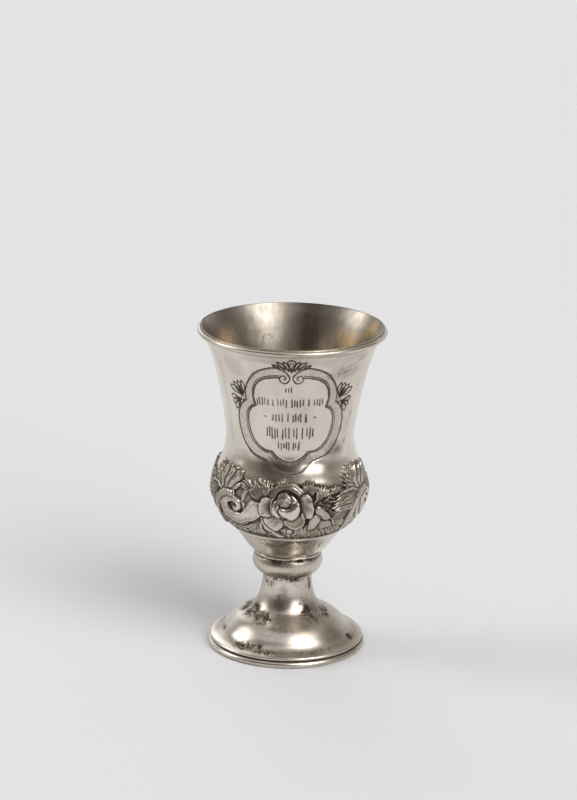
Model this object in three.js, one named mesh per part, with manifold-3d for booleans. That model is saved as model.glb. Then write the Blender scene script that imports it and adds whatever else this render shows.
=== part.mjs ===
// A silver kiddush cup: a goblet for the blessing over wine, raised from sheet silver.
// It stands 130 mm tall on a spun, domed foot. A hollow bead, the knop, joins the foot's
// stem to the bowl. The bowl has a waisted, trumpet-shaped beaker above a round belly, and
// the belly carries a repousse frieze: a rose, a C-scroll, leaves, a bud and a ribbed band,
// three times round the cup. A round wire strengthens the lip and another one the foot.
// Units are millimetres, +Z is up, and the front of the cup faces -Y.
import * as THREE from "three";
import { mergeVertices } from "three/addons/utils/BufferGeometryUtils.js";
import Module from "manifold-3d";

const wasm = await Module();
wasm.setup();

// ---- driving dimensions ----

const FACETS = 32; // flat sides round every turned piece
const LIP_Z = 130; // the cup's height
const SEAT_Z = 39.4; // the bowl is soldered to the knop here
const STEM_TOP_Z = 29.8; // and the knop to the stem here
const WIRE_TOP_Z = 2.4; // the foot's edge lies on its wire here

const BOWL_WALL = 0.8;
const FOOT_WALL = 0.9;
const KNOP_WALL = 1.1;

const LIP_WIRE_RADIUS = 1.05;
const LIP_WIRE_DROP = 1.2; // its middle, below the lip
const LIP_BAND = 3; // the wall's last stretch is straight, for the wire
const LIP_WIRE_SWEEP = 2.25; // half the arc that shows, in radians
const SOLDER_GAP = 0.02; // between the lip wire and the wall it is soldered to

const GIRTH_RADIUS = 31; // the frieze is drawn flat, in millimetres along this circle
const FRIEZE_REPEATS = 3;

// Heights and radii of the bowl's outer wall, from its seat to the lip.
const BOWL_WALL_LINE = [
  [SEAT_Z, 13.3],
  [41, 15.3],
  [45, 18.3],
  [49.5, 21.6], // lower edge of the frieze
  [56, 27.2],
  [64.5, 30.3], // the belly's girth
  [73, 28.6],
  [79, 26.05],
  [85.5, 24.95], // the waist
  [100, 26.75],
  [115, 30.0],
  [124, 33.0],
  [LIP_Z, 35.85],
];

// The foot's outer side, from the rolled edge over the dome to the top of the stem.
const FOOT_LINE = [
  [4.15, 29.4],
  [4.7, 27.9],
  [6.2, 25.7],
  [8.5, 23.8],
  [11.5, 20.6],
  [13.6, 17.0],
  [16, 13.3],
  [20, 11.05],
  [25, 9.95],
  [STEM_TOP_Z, 9.7],
];

// The knop's outer side: a round bead, a fine neck and a fillet under the bowl.
const KNOP_LINE = [
  [STEM_TOP_Z, 10.1],
  [31.2, 12.3],
  [34.3, 13.85],
  [36.8, 13.5],
  [38, 12.95],
];
const FILLET_RADIUS = 13.45;

// ---- outlines ----

// The radius at a height, on a smooth curve through the stations of a line.
function radiusAt(line, z) {
  const last = line.length - 1;
  const above = line.findIndex(([top]) => top > z);
  const k = above < 0 ? last - 1 : Math.max(0, above - 1);
  const slope = (n) => {
    const a = line[Math.max(0, n - 1)];
    const b = line[Math.min(last, n + 1)];
    return (b[1] - a[1]) / (b[0] - a[0]);
  };
  const [z0, r0] = line[k];
  const [z1, r1] = line[k + 1];
  const h = z1 - z0;
  const t = (z - z0) / h;
  const t2 = t * t;
  const t3 = t2 * t;
  return (
    r0 * (2 * t3 - 3 * t2 + 1) +
    slope(k) * h * (t3 - 2 * t2 + t) +
    r1 * (3 * t2 - 2 * t3) +
    slope(k + 1) * h * (t3 - t2)
  );
}

function slopeAt(line, z) {
  const step = 0.01;
  return (radiusAt(line, z + step) - radiusAt(line, z - step)) / (2 * step);
}

// Points of a line between two heights, moved inwards by a wall's thickness.
function along(line, from, to, steps, inset = 0) {
  const points = [];
  for (let i = 0; i <= steps; i++) {
    const z = from + ((to - from) * i) / steps;
    const slope = slopeAt(line, z);
    const tilt = Math.hypot(1, slope);
    points.push(new THREE.Vector2(radiusAt(line, z) - inset / tilt, z + (inset * slope) / tilt));
  }
  return points;
}

const at = (r, z) => new THREE.Vector2(r, z);

// ---- solids ----

// Turns an outline about the cup's axis; the outline runs up the outside.
function turned(points) {
  return new THREE.LatheGeometry(points, FACETS).rotateX(Math.PI / 2);
}

function solid(geometry) {
  const bare = geometry.clone();
  bare.deleteAttribute("normal");
  bare.deleteAttribute("uv");
  const merged = mergeVertices(bare, 1e-3);
  return new wasm.Manifold(
    new wasm.Mesh({
      numProp: 3,
      vertProperties: merged.attributes.position.array,
      triVerts: new Uint32Array(merged.index.array),
    }),
  );
}

function geometryOf(manifold) {
  const { vertProperties, triVerts } = manifold.getMesh();
  const geometry = new THREE.BufferGeometry();
  geometry.setAttribute("position", new THREE.BufferAttribute(vertProperties, 3));
  geometry.setIndex(new THREE.BufferAttribute(triVerts, 1));
  geometry.computeVertexNormals();
  return geometry;
}

// ---- the frieze ----
// Its motifs are modelled flat: x runs round the cup along the girth, y is the height and
// z the relief. wrapped() then lays them on the belly.

function wrapped(geometry, turn) {
  const position = geometry.attributes.position;
  for (let i = 0; i < position.count; i++) {
    const angle = turn + position.getX(i) / GIRTH_RADIUS;
    const z = position.getY(i);
    const lift = position.getZ(i);
    const slope = slopeAt(BOWL_WALL_LINE, z);
    const tilt = Math.hypot(1, slope);
    const r = radiusAt(BOWL_WALL_LINE, z) + lift / tilt;
    position.setXYZ(i, r * Math.sin(angle), -r * Math.cos(angle), z - (lift * slope) / tilt);
  }
  return geometry;
}

// The section of a rounded lobe, from under the wall's surface to its crown.
const LOBE_SECTION = [at(0, -0.6), at(1, -0.6), at(0.84, 0.62), at(0, 1)];

// One rounded lobe, of a petal or a bead, with its middle at x, y.
function lobe(x, y, length, width, height, angle = 0, sides = 6) {
  return new THREE.LatheGeometry(LOBE_SECTION, sides)
    .rotateX(Math.PI / 2)
    .scale(length / 2, width / 2, height)
    .rotateZ(THREE.MathUtils.degToRad(angle))
    .translate(x, y, 0);
}

// A leaf: ridged lobes that spread from its root, between two directions in degrees. Its
// outline runs from the root by valleys and tips back to the root.
function leaf({ x, y, from, to, count, length, height }) {
  const top = [[x, y, 0.7 * height]];
  const point = (angle, reach, lift) => {
    const a = THREE.MathUtils.degToRad(angle);
    return [x + reach * Math.cos(a), y + reach * Math.sin(a), lift];
  };
  const step = (to - from) / count;
  for (let i = 0; i <= 2 * count; i++) {
    const isTip = i % 2 === 1;
    const inner = i === 0 || i === 2 * count;
    const reach = isTip ? length : length * (inner ? 0.5 : 0.74);
    top.push(point(from + (step * i) / 2, reach, isTip ? 0.3 * height : 0.15 * height));
  }
  const edge = top.length;
  const ridges = [];
  for (let i = 0; i < count; i++) ridges.push(point(from + step * (i + 0.5), 0.66 * length, height));
  const under = top.map(([px, py]) => [px, py, -0.6]);
  const faces = [];
  for (let i = 0; i < count; i++) {
    const ridge = edge + i;
    const [valley, tip, next] = [2 * i + 1, 2 * i + 2, 2 * i + 3];
    faces.push([0, valley, ridge], [valley, tip, ridge], [tip, next, ridge], [next, 0, ridge]);
  }
  const below = edge + count;
  for (let i = 0; i < edge; i++) {
    const j = (i + 1) % edge;
    faces.push([j, i, below + i], [j, below + i, below + j]);
    if (i > 0 && j > 0) faces.push([below, below + j, below + i]);
  }
  const geometry = new THREE.BufferGeometry();
  const points = [...top, ...ridges, ...under].flat();
  geometry.setAttribute("position", new THREE.Float32BufferAttribute(points, 3));
  const outward = step > 0 ? faces : faces.map(([p, q, r]) => [p, r, q]);
  geometry.setIndex(outward.flat());
  return geometry;
}

// A band that follows a curve, as wide and as high as its functions of the way along say.
function band(points, steps, widthAt, heightAt) {
  const path = new THREE.CatmullRomCurve3(points.map(([x, y]) => new THREE.Vector3(x, y, 0)));
  const box = new THREE.BoxGeometry(1, 1, 1, steps, 2, 1);
  const position = box.attributes.position;
  for (let i = 0; i < position.count; i++) {
    const t = Math.min(1, Math.max(0, position.getX(i) + 0.5));
    const side = position.getY(i);
    const middle = path.getPointAt(t);
    const way = path.getTangentAt(t);
    const crown = Math.abs(side) < 0.1 ? 1 : 0.45;
    const lift = position.getZ(i) > 0 ? heightAt(t) * crown : -0.5;
    const offset = side * widthAt(t);
    position.setXYZ(i, middle.x - way.y * offset, middle.y + way.x * offset, lift);
  }
  return box;
}

const ROSE = { x: 0.3, y: 65.3, petals: 5, turn: 82, reach: 6.7, petal: 7.4, height: 1.15 };

function rose() {
  const parts = [];
  for (let i = 0; i < ROSE.petals; i++) {
    const angle = ROSE.turn + (360 * i) / ROSE.petals;
    const a = THREE.MathUtils.degToRad(angle);
    const px = ROSE.x + ROSE.reach * Math.cos(a);
    const py = ROSE.y + ROSE.reach * Math.sin(a);
    parts.push(lobe(px, py, 0.85 * ROSE.petal, ROSE.petal, ROSE.height, angle));
  }
  parts.push(lobe(ROSE.x - 1, ROSE.y + 1, 9.6, 9.6, 1.6, 0, 8));
  parts.push(lobe(ROSE.x + 0.4, ROSE.y - 0.6, 6.6, 5, 1.95, 20));
  return parts;
}

// A C-scroll: wide beside the rose, it runs under itself, up and round to its eye.
function scroll() {
  const line = [
    [-12.4, 64.6],
    [-15.2, 60.9],
    [-21, 58.6],
    [-27.6, 59.4],
    [-30.6, 63.3],
    [-28, 67],
    [-23.6, 66.8],
    [-21.2, 64.3],
    [-23, 62.2],
  ];
  const width = (t) => 5.4 - 3.4 * t;
  const height = (t) => 1.3 - 0.35 * t;
  return [band(line, 11, width, height)];
}

// The ribbed band that borders the next scroll, with a rib at every step.
function ribbedBand() {
  const line = [
    [28.4, 57.2],
    [30.4, 62.5],
    [33.8, 67.2],
    [38.2, 69.6],
  ];
  const steps = 8;
  const rib = (t) => (Math.round(t * steps) % 2 ? 1.25 : 0.8);
  return [band(line, steps, () => 2.9, rib)];
}

function leaves() {
  return [
    // the leaf over the scroll
    leaf({ x: -27.5, y: 69, from: 112, to: 40, count: 4, length: 9.3, height: 1.1 }),
    // the leaf that leans back from the same node
    leaf({ x: 35.5, y: 69.5, from: 172, to: 92, count: 4, length: 11.5, height: 1.05 }),
    // the lobed leaf to the right of the rose
    leaf({ x: 10.6, y: 67, from: 142, to: 28, count: 4, length: 8, height: 1 }),
    // the long acanthus leaf that springs from the ribbed band
    leaf({ x: 30.4, y: 66, from: 150, to: 206, count: 5, length: 13.6, height: 1 }),
    // the feathery leaf behind the rose
    leaf({ x: -10, y: 67.6, from: 90, to: 156, count: 3, length: 8, height: 0.9 }),
    // the spray under the scroll
    leaf({ x: -12.4, y: 58.8, from: 186, to: 266, count: 4, length: 7.6, height: 0.85 }),
    // the bound stalk beside the feathery leaf
    lobe(-18.3, 72.6, 6.4, 3.4, 1, 112),
  ];
}

function bud() {
  return [
    lobe(10.2, 59.6, 6.6, 3.8, 1.15, 64),
    lobe(13.6, 61.8, 7.6, 4.2, 1.2, -34),
    lobe(15.6, 58.2, 8, 4.6, 0.95, -28),
  ];
}

// Beads on a ribbon, under the rose.
function beads() {
  return [-1.5, 1.1].map((x) => lobe(x, 55.4, 2.5, 2.8, 0.75));
}

function frieze() {
  const parts = [];
  for (let i = 0; i < FRIEZE_REPEATS; i++) {
    const turn = (2 * Math.PI * i) / FRIEZE_REPEATS;
    const motifs = [...rose(), ...scroll(), ...ribbedBand(), ...leaves(), ...bud(), ...beads()];
    parts.push(...motifs.map((motif) => solid(wrapped(motif, turn))));
  }
  return parts;
}

// ---- the five pieces ----

function bowl() {
  const floorZ = SEAT_Z + 1;
  const outside = [
    at(0, SEAT_Z),
    ...along(BOWL_WALL_LINE, SEAT_Z, 49.5, 3),
    ...along(BOWL_WALL_LINE, 53, 79, 5),
    ...along(BOWL_WALL_LINE, 85.5, LIP_Z - LIP_BAND, 4),
    at(radiusAt(BOWL_WALL_LINE, LIP_Z), LIP_Z),
    at(0, LIP_Z),
  ];
  const rim = radiusAt(BOWL_WALL_LINE, LIP_Z) - BOWL_WALL;
  const inside = [
    at(0, floorZ),
    at(11.2, floorZ),
    at(radiusAt(BOWL_WALL_LINE, 45) - 1.2, 45),
    ...along(BOWL_WALL_LINE, 53, 79, 5, BOWL_WALL),
    ...along(BOWL_WALL_LINE, 85.5, LIP_Z - LIP_BAND, 4, BOWL_WALL),
    at(rim, LIP_Z),
    at(rim, LIP_Z + 1),
    at(0, LIP_Z + 1),
  ];
  let cup = solid(turned(outside));
  for (const part of frieze()) cup = cup.add(part);
  return geometryOf(cup.subtract(solid(turned(inside))));
}

// A round wire bent to the flare of the lip and soldered to the outside of the wall.
function lipWire() {
  const top = radiusAt(BOWL_WALL_LINE, LIP_Z);
  const slope = (top - radiusAt(BOWL_WALL_LINE, LIP_Z - LIP_BAND)) / LIP_BAND;
  const lean = Math.atan(slope);
  const offset = SOLDER_GAP - LIP_WIRE_RADIUS * Math.cos(LIP_WIRE_SWEEP);
  const middle = at(
    top - slope * LIP_WIRE_DROP + offset * Math.cos(lean),
    LIP_Z - LIP_WIRE_DROP - offset * Math.sin(lean),
  );
  const steps = 6;
  const section = [];
  for (let i = 0; i <= steps; i++) {
    const a = -lean + LIP_WIRE_SWEEP * ((2 * i) / steps - 1);
    section.push(at(middle.x + LIP_WIRE_RADIUS * Math.cos(a), middle.y + LIP_WIRE_RADIUS * Math.sin(a)));
  }
  return turned([...section, section[0].clone()]);
}

function knop() {
  const neckZ = KNOP_LINE[KNOP_LINE.length - 1][0];
  return turned([
    ...along(KNOP_LINE, STEM_TOP_Z, neckZ, 5),
    at(FILLET_RADIUS, neckZ + 0.35),
    at(FILLET_RADIUS, SEAT_Z - 0.35),
    at(FILLET_RADIUS - 0.3, SEAT_Z),
    at(FILLET_RADIUS - KNOP_WALL - 0.9, SEAT_Z),
    ...along(KNOP_LINE, STEM_TOP_Z + 1.6, neckZ, 1, KNOP_WALL).reverse(),
    at(KNOP_LINE[0][1] - KNOP_WALL, STEM_TOP_Z),
    at(KNOP_LINE[0][1], STEM_TOP_Z),
  ]);
}

function foot() {
  const [edgeZ, edgeR] = FOOT_LINE[0];
  return turned([
    at(edgeR + 0.4, WIRE_TOP_Z),
    at(edgeR + 0.9, WIRE_TOP_Z + 0.8),
    at(edgeR + 0.8, edgeZ - 0.2),
    ...along(FOOT_LINE, edgeZ, 6.2, 2),
    ...along(FOOT_LINE, 8.5, 16, 4),
    ...along(FOOT_LINE, 19, STEM_TOP_Z, 3),
    ...along(FOOT_LINE, 21, STEM_TOP_Z, 1, FOOT_WALL).reverse(),
    ...along(FOOT_LINE, 8.5, 16, 2, FOOT_WALL).reverse(),
    ...along(FOOT_LINE, 5.2, 6.2, 1, FOOT_WALL).reverse(),
    at(edgeR - 0.6, WIRE_TOP_Z),
    at(edgeR + 0.4, WIRE_TOP_Z),
  ]);
}

// The wire under the foot's edge: round outside, flat where the cup stands.
function footWire() {
  const [, edgeR] = FOOT_LINE[0];
  const inner = edgeR - 0.6;
  const middle = at(edgeR + 0.6, WIRE_TOP_Z / 2);
  const bulge = WIRE_TOP_Z / 2;
  const steps = 5;
  const section = [at(inner, 0)];
  for (let i = 0; i <= steps; i++) {
    const a = -Math.PI / 2 + (Math.PI * i) / steps;
    section.push(at(middle.x + bulge * Math.cos(a), middle.y + bulge * Math.sin(a)));
  }
  return turned([...section, at(inner, WIRE_TOP_Z), at(inner, 0)]);
}

// ---- materials and assembly ----

const silver = new THREE.MeshStandardMaterial({ color: 0xd2cabd, roughness: 0.28, metalness: 1 });
const wornSilver = new THREE.MeshStandardMaterial({ color: 0xc6bcac, roughness: 0.32, metalness: 1 });

const cup = new THREE.Group();

function piece(name, geometry, material) {
  const mesh = new THREE.Mesh(geometry, material);
  mesh.name = name;
  cup.add(mesh);
}

piece("bowl", bowl(), silver);
piece("lip_wire", lipWire(), silver);
piece("knop", knop(), wornSilver);
piece("foot", foot(), wornSilver);
piece("foot_wire", footWire(), wornSilver);

export default cup;
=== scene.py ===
# %% [markdown]
# # A silver kiddush cup
#
# A kiddush cup is a goblet for the blessing over wine. This one was raised from sheet silver:
# a beaker that flares from a waist, a round belly with a repousse frieze, a hollow bead and a
# domed foot. A cartouche with five lobes is engraved on the front.
#
# The solids of the five pieces are already there, as a frame. This lesson dresses them: it
# keeps their outlines, and adds what a chaser's punches and an engraver's burin leave behind.

# %% Load the frame
import math

import bpy
import numpy as np
from mathutils import Matrix, Vector


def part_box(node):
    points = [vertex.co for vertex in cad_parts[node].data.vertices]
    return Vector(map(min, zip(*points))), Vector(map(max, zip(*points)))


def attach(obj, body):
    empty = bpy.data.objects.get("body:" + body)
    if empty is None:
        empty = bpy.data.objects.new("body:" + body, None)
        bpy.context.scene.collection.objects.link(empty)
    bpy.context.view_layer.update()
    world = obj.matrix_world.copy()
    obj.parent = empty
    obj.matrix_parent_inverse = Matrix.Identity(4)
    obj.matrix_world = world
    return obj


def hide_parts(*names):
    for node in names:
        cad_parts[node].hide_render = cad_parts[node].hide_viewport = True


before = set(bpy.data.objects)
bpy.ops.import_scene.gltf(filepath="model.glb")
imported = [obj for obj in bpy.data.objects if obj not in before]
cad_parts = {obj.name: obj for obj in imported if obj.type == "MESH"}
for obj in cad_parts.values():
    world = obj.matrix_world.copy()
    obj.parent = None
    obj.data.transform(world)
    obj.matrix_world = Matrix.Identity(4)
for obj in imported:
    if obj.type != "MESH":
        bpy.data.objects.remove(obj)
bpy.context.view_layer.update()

print("nodes:", sorted(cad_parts))

# %% [markdown]
# ## Working in millimetres
#
# A silversmith thinks in millimetres, so the drawing is done in them and turned into metres
# once, where a mesh is made. The heights at which the pieces meet are read from the frame.
# The front of the cup faces -Y. An angle round the cup is 0 at the front and grows to the
# right.

# %% Heights from the frame
MM = 0.001


def span(node):
    """The lowest and highest z of a node, in millimetres."""
    low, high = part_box(node)
    return low[2] / MM, high[2] / MM


SEAT_Z, LIP_Z = span("bowl")
STEM_TOP_Z = span("foot")[1]
WIRE_TOP_Z = span("foot_wire")[1]
LIP_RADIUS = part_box("lip_wire")[1][0] / MM
print(f"bowl from {SEAT_Z:.1f} to {LIP_Z:.1f} mm, stem up to {STEM_TOP_Z:.1f} mm")

# %% [markdown]
# ## Outlines
#
# Every piece was made on a stake or a lathe, so one outline each is enough: heights and radii
# at the places where the curve changes, with a smooth curve through them. Cubic pieces, one
# between each pair of stations, pass through all of them and hardly overshoot. A spline object
# could do the same, but a formula also gives the radius at any height, which is needed later.

# %% Smooth outlines
WALL_LINE = [
    (SEAT_Z, 13.3), (41, 15.3), (45, 18.3), (49.5, 21.6), (56, 27.2), (64.5, 30.3), (73, 28.6),
    (79, 26.25), (83.5, 25.28), (87, 24.95), (93, 25.6), (100, 26.75), (115, 30.0), (124, 33.0),
    (LIP_Z, 35.85),
]
FOOT_LINE = [
    (4.15, 29.4), (4.7, 27.9), (6.2, 25.7), (8.5, 23.8), (11.5, 20.6), (13.6, 17.0), (16, 13.3),
    (20, 11.05), (25, 9.95), (STEM_TOP_Z, 9.7),
]
KNOP_LINE = [(STEM_TOP_Z, 10.1), (31.2, 12.3), (34.3, 13.85), (36.8, 13.5), (38, 12.95)]


def radius_at(line, z):
    """Radii on the smooth curve through a line's stations."""
    heights, radii = np.array(line, float).T
    slopes = np.gradient(radii, heights, edge_order=1)
    slopes[1:-1] = (radii[2:] - radii[:-2]) / (heights[2:] - heights[:-2])
    i = np.clip(np.searchsorted(heights, z, side="right") - 1, 0, len(heights) - 2)
    gap = heights[i + 1] - heights[i]
    t = (z - heights[i]) / gap
    start = radii[i] * (2 * t**3 - 3 * t**2 + 1) + slopes[i] * gap * (t**3 - 2 * t**2 + t)
    end = radii[i + 1] * (3 * t**2 - 2 * t**3) + slopes[i + 1] * gap * (t**3 - t**2)
    return start + end


BELLY_Z = 64.5
print("width of the belly:", round(2 * float(radius_at(WALL_LINE, np.array(BELLY_Z))), 1), "mm")

# %% [markdown]
# ## A board to draw on
#
# The wall of the bowl is unrolled into a board: one column for each small turn round the cup
# and one row for each small step of height. What the chaser does is a number in each cell of
# the board: how far the silver stands out, and how much tarnish and painted shade it holds.
# The cell is an eighth of a millimetre wide, and an engraved line is three or four cells wide.
# Sculpting by hand could do this too, but numbers on a board can be drawn again in another size.

# %% The board
TILE = 256
TILES_ROUND, TILES_HIGH = 6, 3
COLS, ROWS = TILE * TILES_ROUND, TILE * TILES_HIGH + 1
GIRTH_RADIUS = 31.0
REPEATS = 3

angles = np.linspace(-math.pi, math.pi, COLS, endpoint=False)
heights = np.linspace(SEAT_Z, LIP_Z, ROWS)
relief = np.zeros((ROWS, COLS))
# The dark drawn on the board: tarnish, and painted shade in the frieze's hollows and low relief.
tarnish = np.zeros((ROWS, COLS))
matting = np.zeros((ROWS, COLS))
print(f"{COLS} x {ROWS} cells, {2 * math.pi * GIRTH_RADIUS / COLS:.3f} mm wide at the girth")

# %% [markdown]
# ## Strokes
#
# Chased work is made of strokes. Each follows a curve, swells and tapers, and has a rounded
# back with a tarnished furrow along its edge, where the punch drove the metal down. A leaf is
# a few strokes that spread from its root, so one kind of stroke draws most of the frieze.
# It starts from a smooth curve through a few points, a soft step from 0 to 1 and a soft bell.

# %% Curves


def smooth(x, low, high):
    """0 below low, 1 above high, and an even slope between them."""
    t = np.clip((x - low) / (high - low), 0, 1)
    return t * t * (3 - 2 * t)


def bell(x, middle, width):
    """1 at the middle, falling softly to almost 0 at twice the width on both sides."""
    return np.exp(-(((x - middle) / width) ** 2))


def curve(points, steps=6):
    """A smooth line through points, with a number of steps between each two."""
    p = np.array([points[0], *points, points[-1]], float)
    line = []
    for i in range(1, len(p) - 2):
        for t in np.linspace(0, 1, steps, endpoint=False):
            a, b, c, d = p[i - 1 : i + 3]
            line.append(
                0.5 * (2 * b + (c - a) * t + (2 * a - 5 * b + 4 * c - d) * t**2
                       + (3 * b - a - 3 * c + d) * t**3)
            )
    return np.array([*line, p[-1]])


sample = curve([(0, 0), (3, 1), (6, 0)])
print("a curve through 3 points is drawn with", len(sample), "points")

# %% [markdown]
# ## Distances and averages
#
# How far a cell lies from a curve says whether it is on the back of a stroke, in the furrow
# beside it or on the ground. An average over a round patch shows what is high and what is low:
# a cell under the average of its neighbours lies in a hollow.

# %% Distances and averages


def nearest(line, x, y):
    """Distance to a line, how far along it (0 to 1) and on which side (left is positive)."""
    steps = np.diff(line, axis=0)
    lengths = np.hypot(*steps.T)
    starts = np.concatenate([[0], np.cumsum(lengths)])
    best = np.full(x.shape, np.inf)
    along = np.zeros(x.shape)
    side = np.zeros(x.shape)
    for (px, py), (sx, sy), length, start in zip(line, steps, lengths, starts):
        if length == 0:
            continue
        t = np.clip(((x - px) * sx + (y - py) * sy) / length**2, 0, 1)
        dx = x - px - t * sx
        dy = y - py - t * sy
        distance = np.hypot(dx, dy)
        closer = distance < best
        best = np.where(closer, distance, best)
        along = np.where(closer, (start + t * length) / starts[-1], along)
        side = np.where(closer, np.sign(sx * dy - sy * dx), side)
    return best, along, side


def blurred(field, radius):
    """A field averaged over a round patch, by three passes of a box, round the cup as well."""
    reach = max(1, int(round(radius * 1.2)))
    for _ in range(3):
        for axis in (0, 1):
            pad = [(0, 0), (0, 0)]
            pad[axis] = (reach + 1, reach)
            total = np.cumsum(np.pad(field, pad, mode="wrap" if axis else "edge"), axis=axis)
            high = np.take(total, np.arange(2 * reach + 1, total.shape[axis]), axis=axis)
            low = np.take(total, np.arange(0, total.shape[axis] - 2 * reach - 1), axis=axis)
            field = (high - low) / (2 * reach + 1)
    return field


away = nearest(sample, np.array([3.0]), np.array([3.0]))[0][0]
print("a cell above that curve is", round(float(away), 2), "away from it")

# %% [markdown]
# ## One repeat
#
# One repeat of the frieze has a board of its own. Each shape is laid over what is there
# already, as if cut from paper, and leaves a dark furrow round its edge. An unsteady hand
# shifts every shape a little, because lines that are too true look cast and not chased.

# %% The frieze's board


class Board:
    """One repeat of the frieze, drawn flat: x runs round the girth, y is the height."""

    def __init__(self, low, high):
        self.rows = np.flatnonzero((heights >= low) & (heights <= high))
        columns = COLS // REPEATS
        self.width = 2 * math.pi * GIRTH_RADIUS / REPEATS
        xs = (np.arange(columns) / columns - 0.5) * self.width
        self.x, self.y = np.meshgrid(xs, heights[self.rows])
        self.height = np.zeros(self.x.shape)
        self.dark = np.full(self.x.shape, 0.5)
        self.slip_x = self.unsteady(1)
        self.slip_y = self.unsteady(2)

    def unsteady(self, seed):
        """How far a hand slips from its line, in millimetres, over the whole board."""
        noise = np.random.default_rng(seed).standard_normal(self.x.shape)
        slip = blurred(noise, 6)
        fine = blurred(noise, 2)
        return 0.17 * slip / slip.std() + 0.035 * fine / fine.std()

    def near(self, points, margin):
        """The cells near some points, and where an unsteady hand takes them to be."""
        points = np.array(points, float)
        low = points.min(0) - margin
        high = points.max(0) + margin
        middle = (low[0] + high[0]) / 2
        x = middle + (self.x - middle + self.width / 2) % self.width - self.width / 2
        rows = (self.y[:, 0] >= low[1]) & (self.y[:, 0] <= high[1])
        columns = (x[0] >= low[0]) & (x[0] <= high[0])
        cells = np.ix_(rows, columns)
        return cells, x[cells] + self.slip_x[cells], self.y[cells] + self.slip_y[cells]

    def lay(self, cells, outside, height, dark, rim=0.75):
        """Lays a shape over what is there: outside is the distance past its edge."""
        inside = 1 - smooth(outside, -0.2, 0.1)
        furrow = 0.12 * bell(outside, 0.12, 0.18)
        under = self.height[cells] - furrow
        self.height[cells] = under * (1 - inside) + height * inside
        line = rim * bell(outside, 0.02, 0.17)
        self.dark[cells] = np.maximum(self.dark[cells] * (1 - inside) + dark * inside, line)


print("the board of a repeat can", [name for name in vars(Board) if not name.startswith("_")])

# %% [markdown]
# ## Strokes and leaves
#
# A stroke has a half width that grows and shrinks on its way, a round back and, if asked,
# veins along it. A leaf is a fan of strokes from one root to points along its edge.

# %% Strokes and leaves


class LeafBoard(Board):
    """A board on which strokes and leaves can be drawn."""

    def stroke(self, points, width, height, root=0.6, tip=0.5, veins=0, base=0.3, dark=0.0):
        """A rounded stroke. Its half width grows from its root and shrinks to its tip."""
        line = curve(points)
        cells, x, y = self.near(line, 1.5 * width + 1)
        distance, along, side = nearest(line, x, y)
        half = width * np.interp(along, (0, 0.4, 0.7, 1), (root, 0.55 + 0.45 * root, 1, tip))
        across = distance / half
        back = np.sqrt(1 - 0.92 * np.clip(across, 0, 1) ** 2)
        crown = height * np.interp(along, (0, 0.5, 0.85, 1), (0.7, 0.9, 1.05, 0.8))
        ribs = (0.5 + 0.5 * np.cos(math.pi * (veins + 1) * side * across)) ** 3 if veins else 0
        ribs = ribs * np.interp(along, (0.7, 0.95), (1, 0.2))
        lift = base + (crown - base) * back - 0.1 * ribs
        self.lay(cells, distance - half, lift, np.maximum(dark, 0.4 * across**5) + 0.25 * ribs)

    def fan(self, root, edge, lobes, height, full=0.62, bend=0.1, lean=0.0, narrow=0.35, **shape):
        """A leaf: its lobes run from a root to an edge, every second one is a little shorter."""
        root = np.array(root, float)
        edge = curve(edge, 12)
        tips = edge[np.linspace(0, len(edge) - 1, lobes).astype(int)]
        width = full * float(np.mean(np.hypot(*np.diff(tips, axis=0).T)))
        for i, tip in enumerate(tips):
            way = (tip - root) * (1 - 0.07 * (i % 2))
            turn = bend * (1 - 2 * i / (lobes - 1)) + lean
            middle = root + 0.5 * way + turn * np.array([-way[1], way[0]])
            self.stroke([root, middle, root + way], width, height, root=narrow, **shape)


print("leaves are made with", [name for name in vars(LeafBoard) if not name.startswith("_")])

# %% [markdown]
# ## Petals, plates and beads
#
# A petal is a squarish oval with a dish in its middle and a rolled edge on its outer side. A
# plate is a petal with an outline of its own. A bead is a ball pressed out from behind.

# %% Petals, plates and beads


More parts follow.
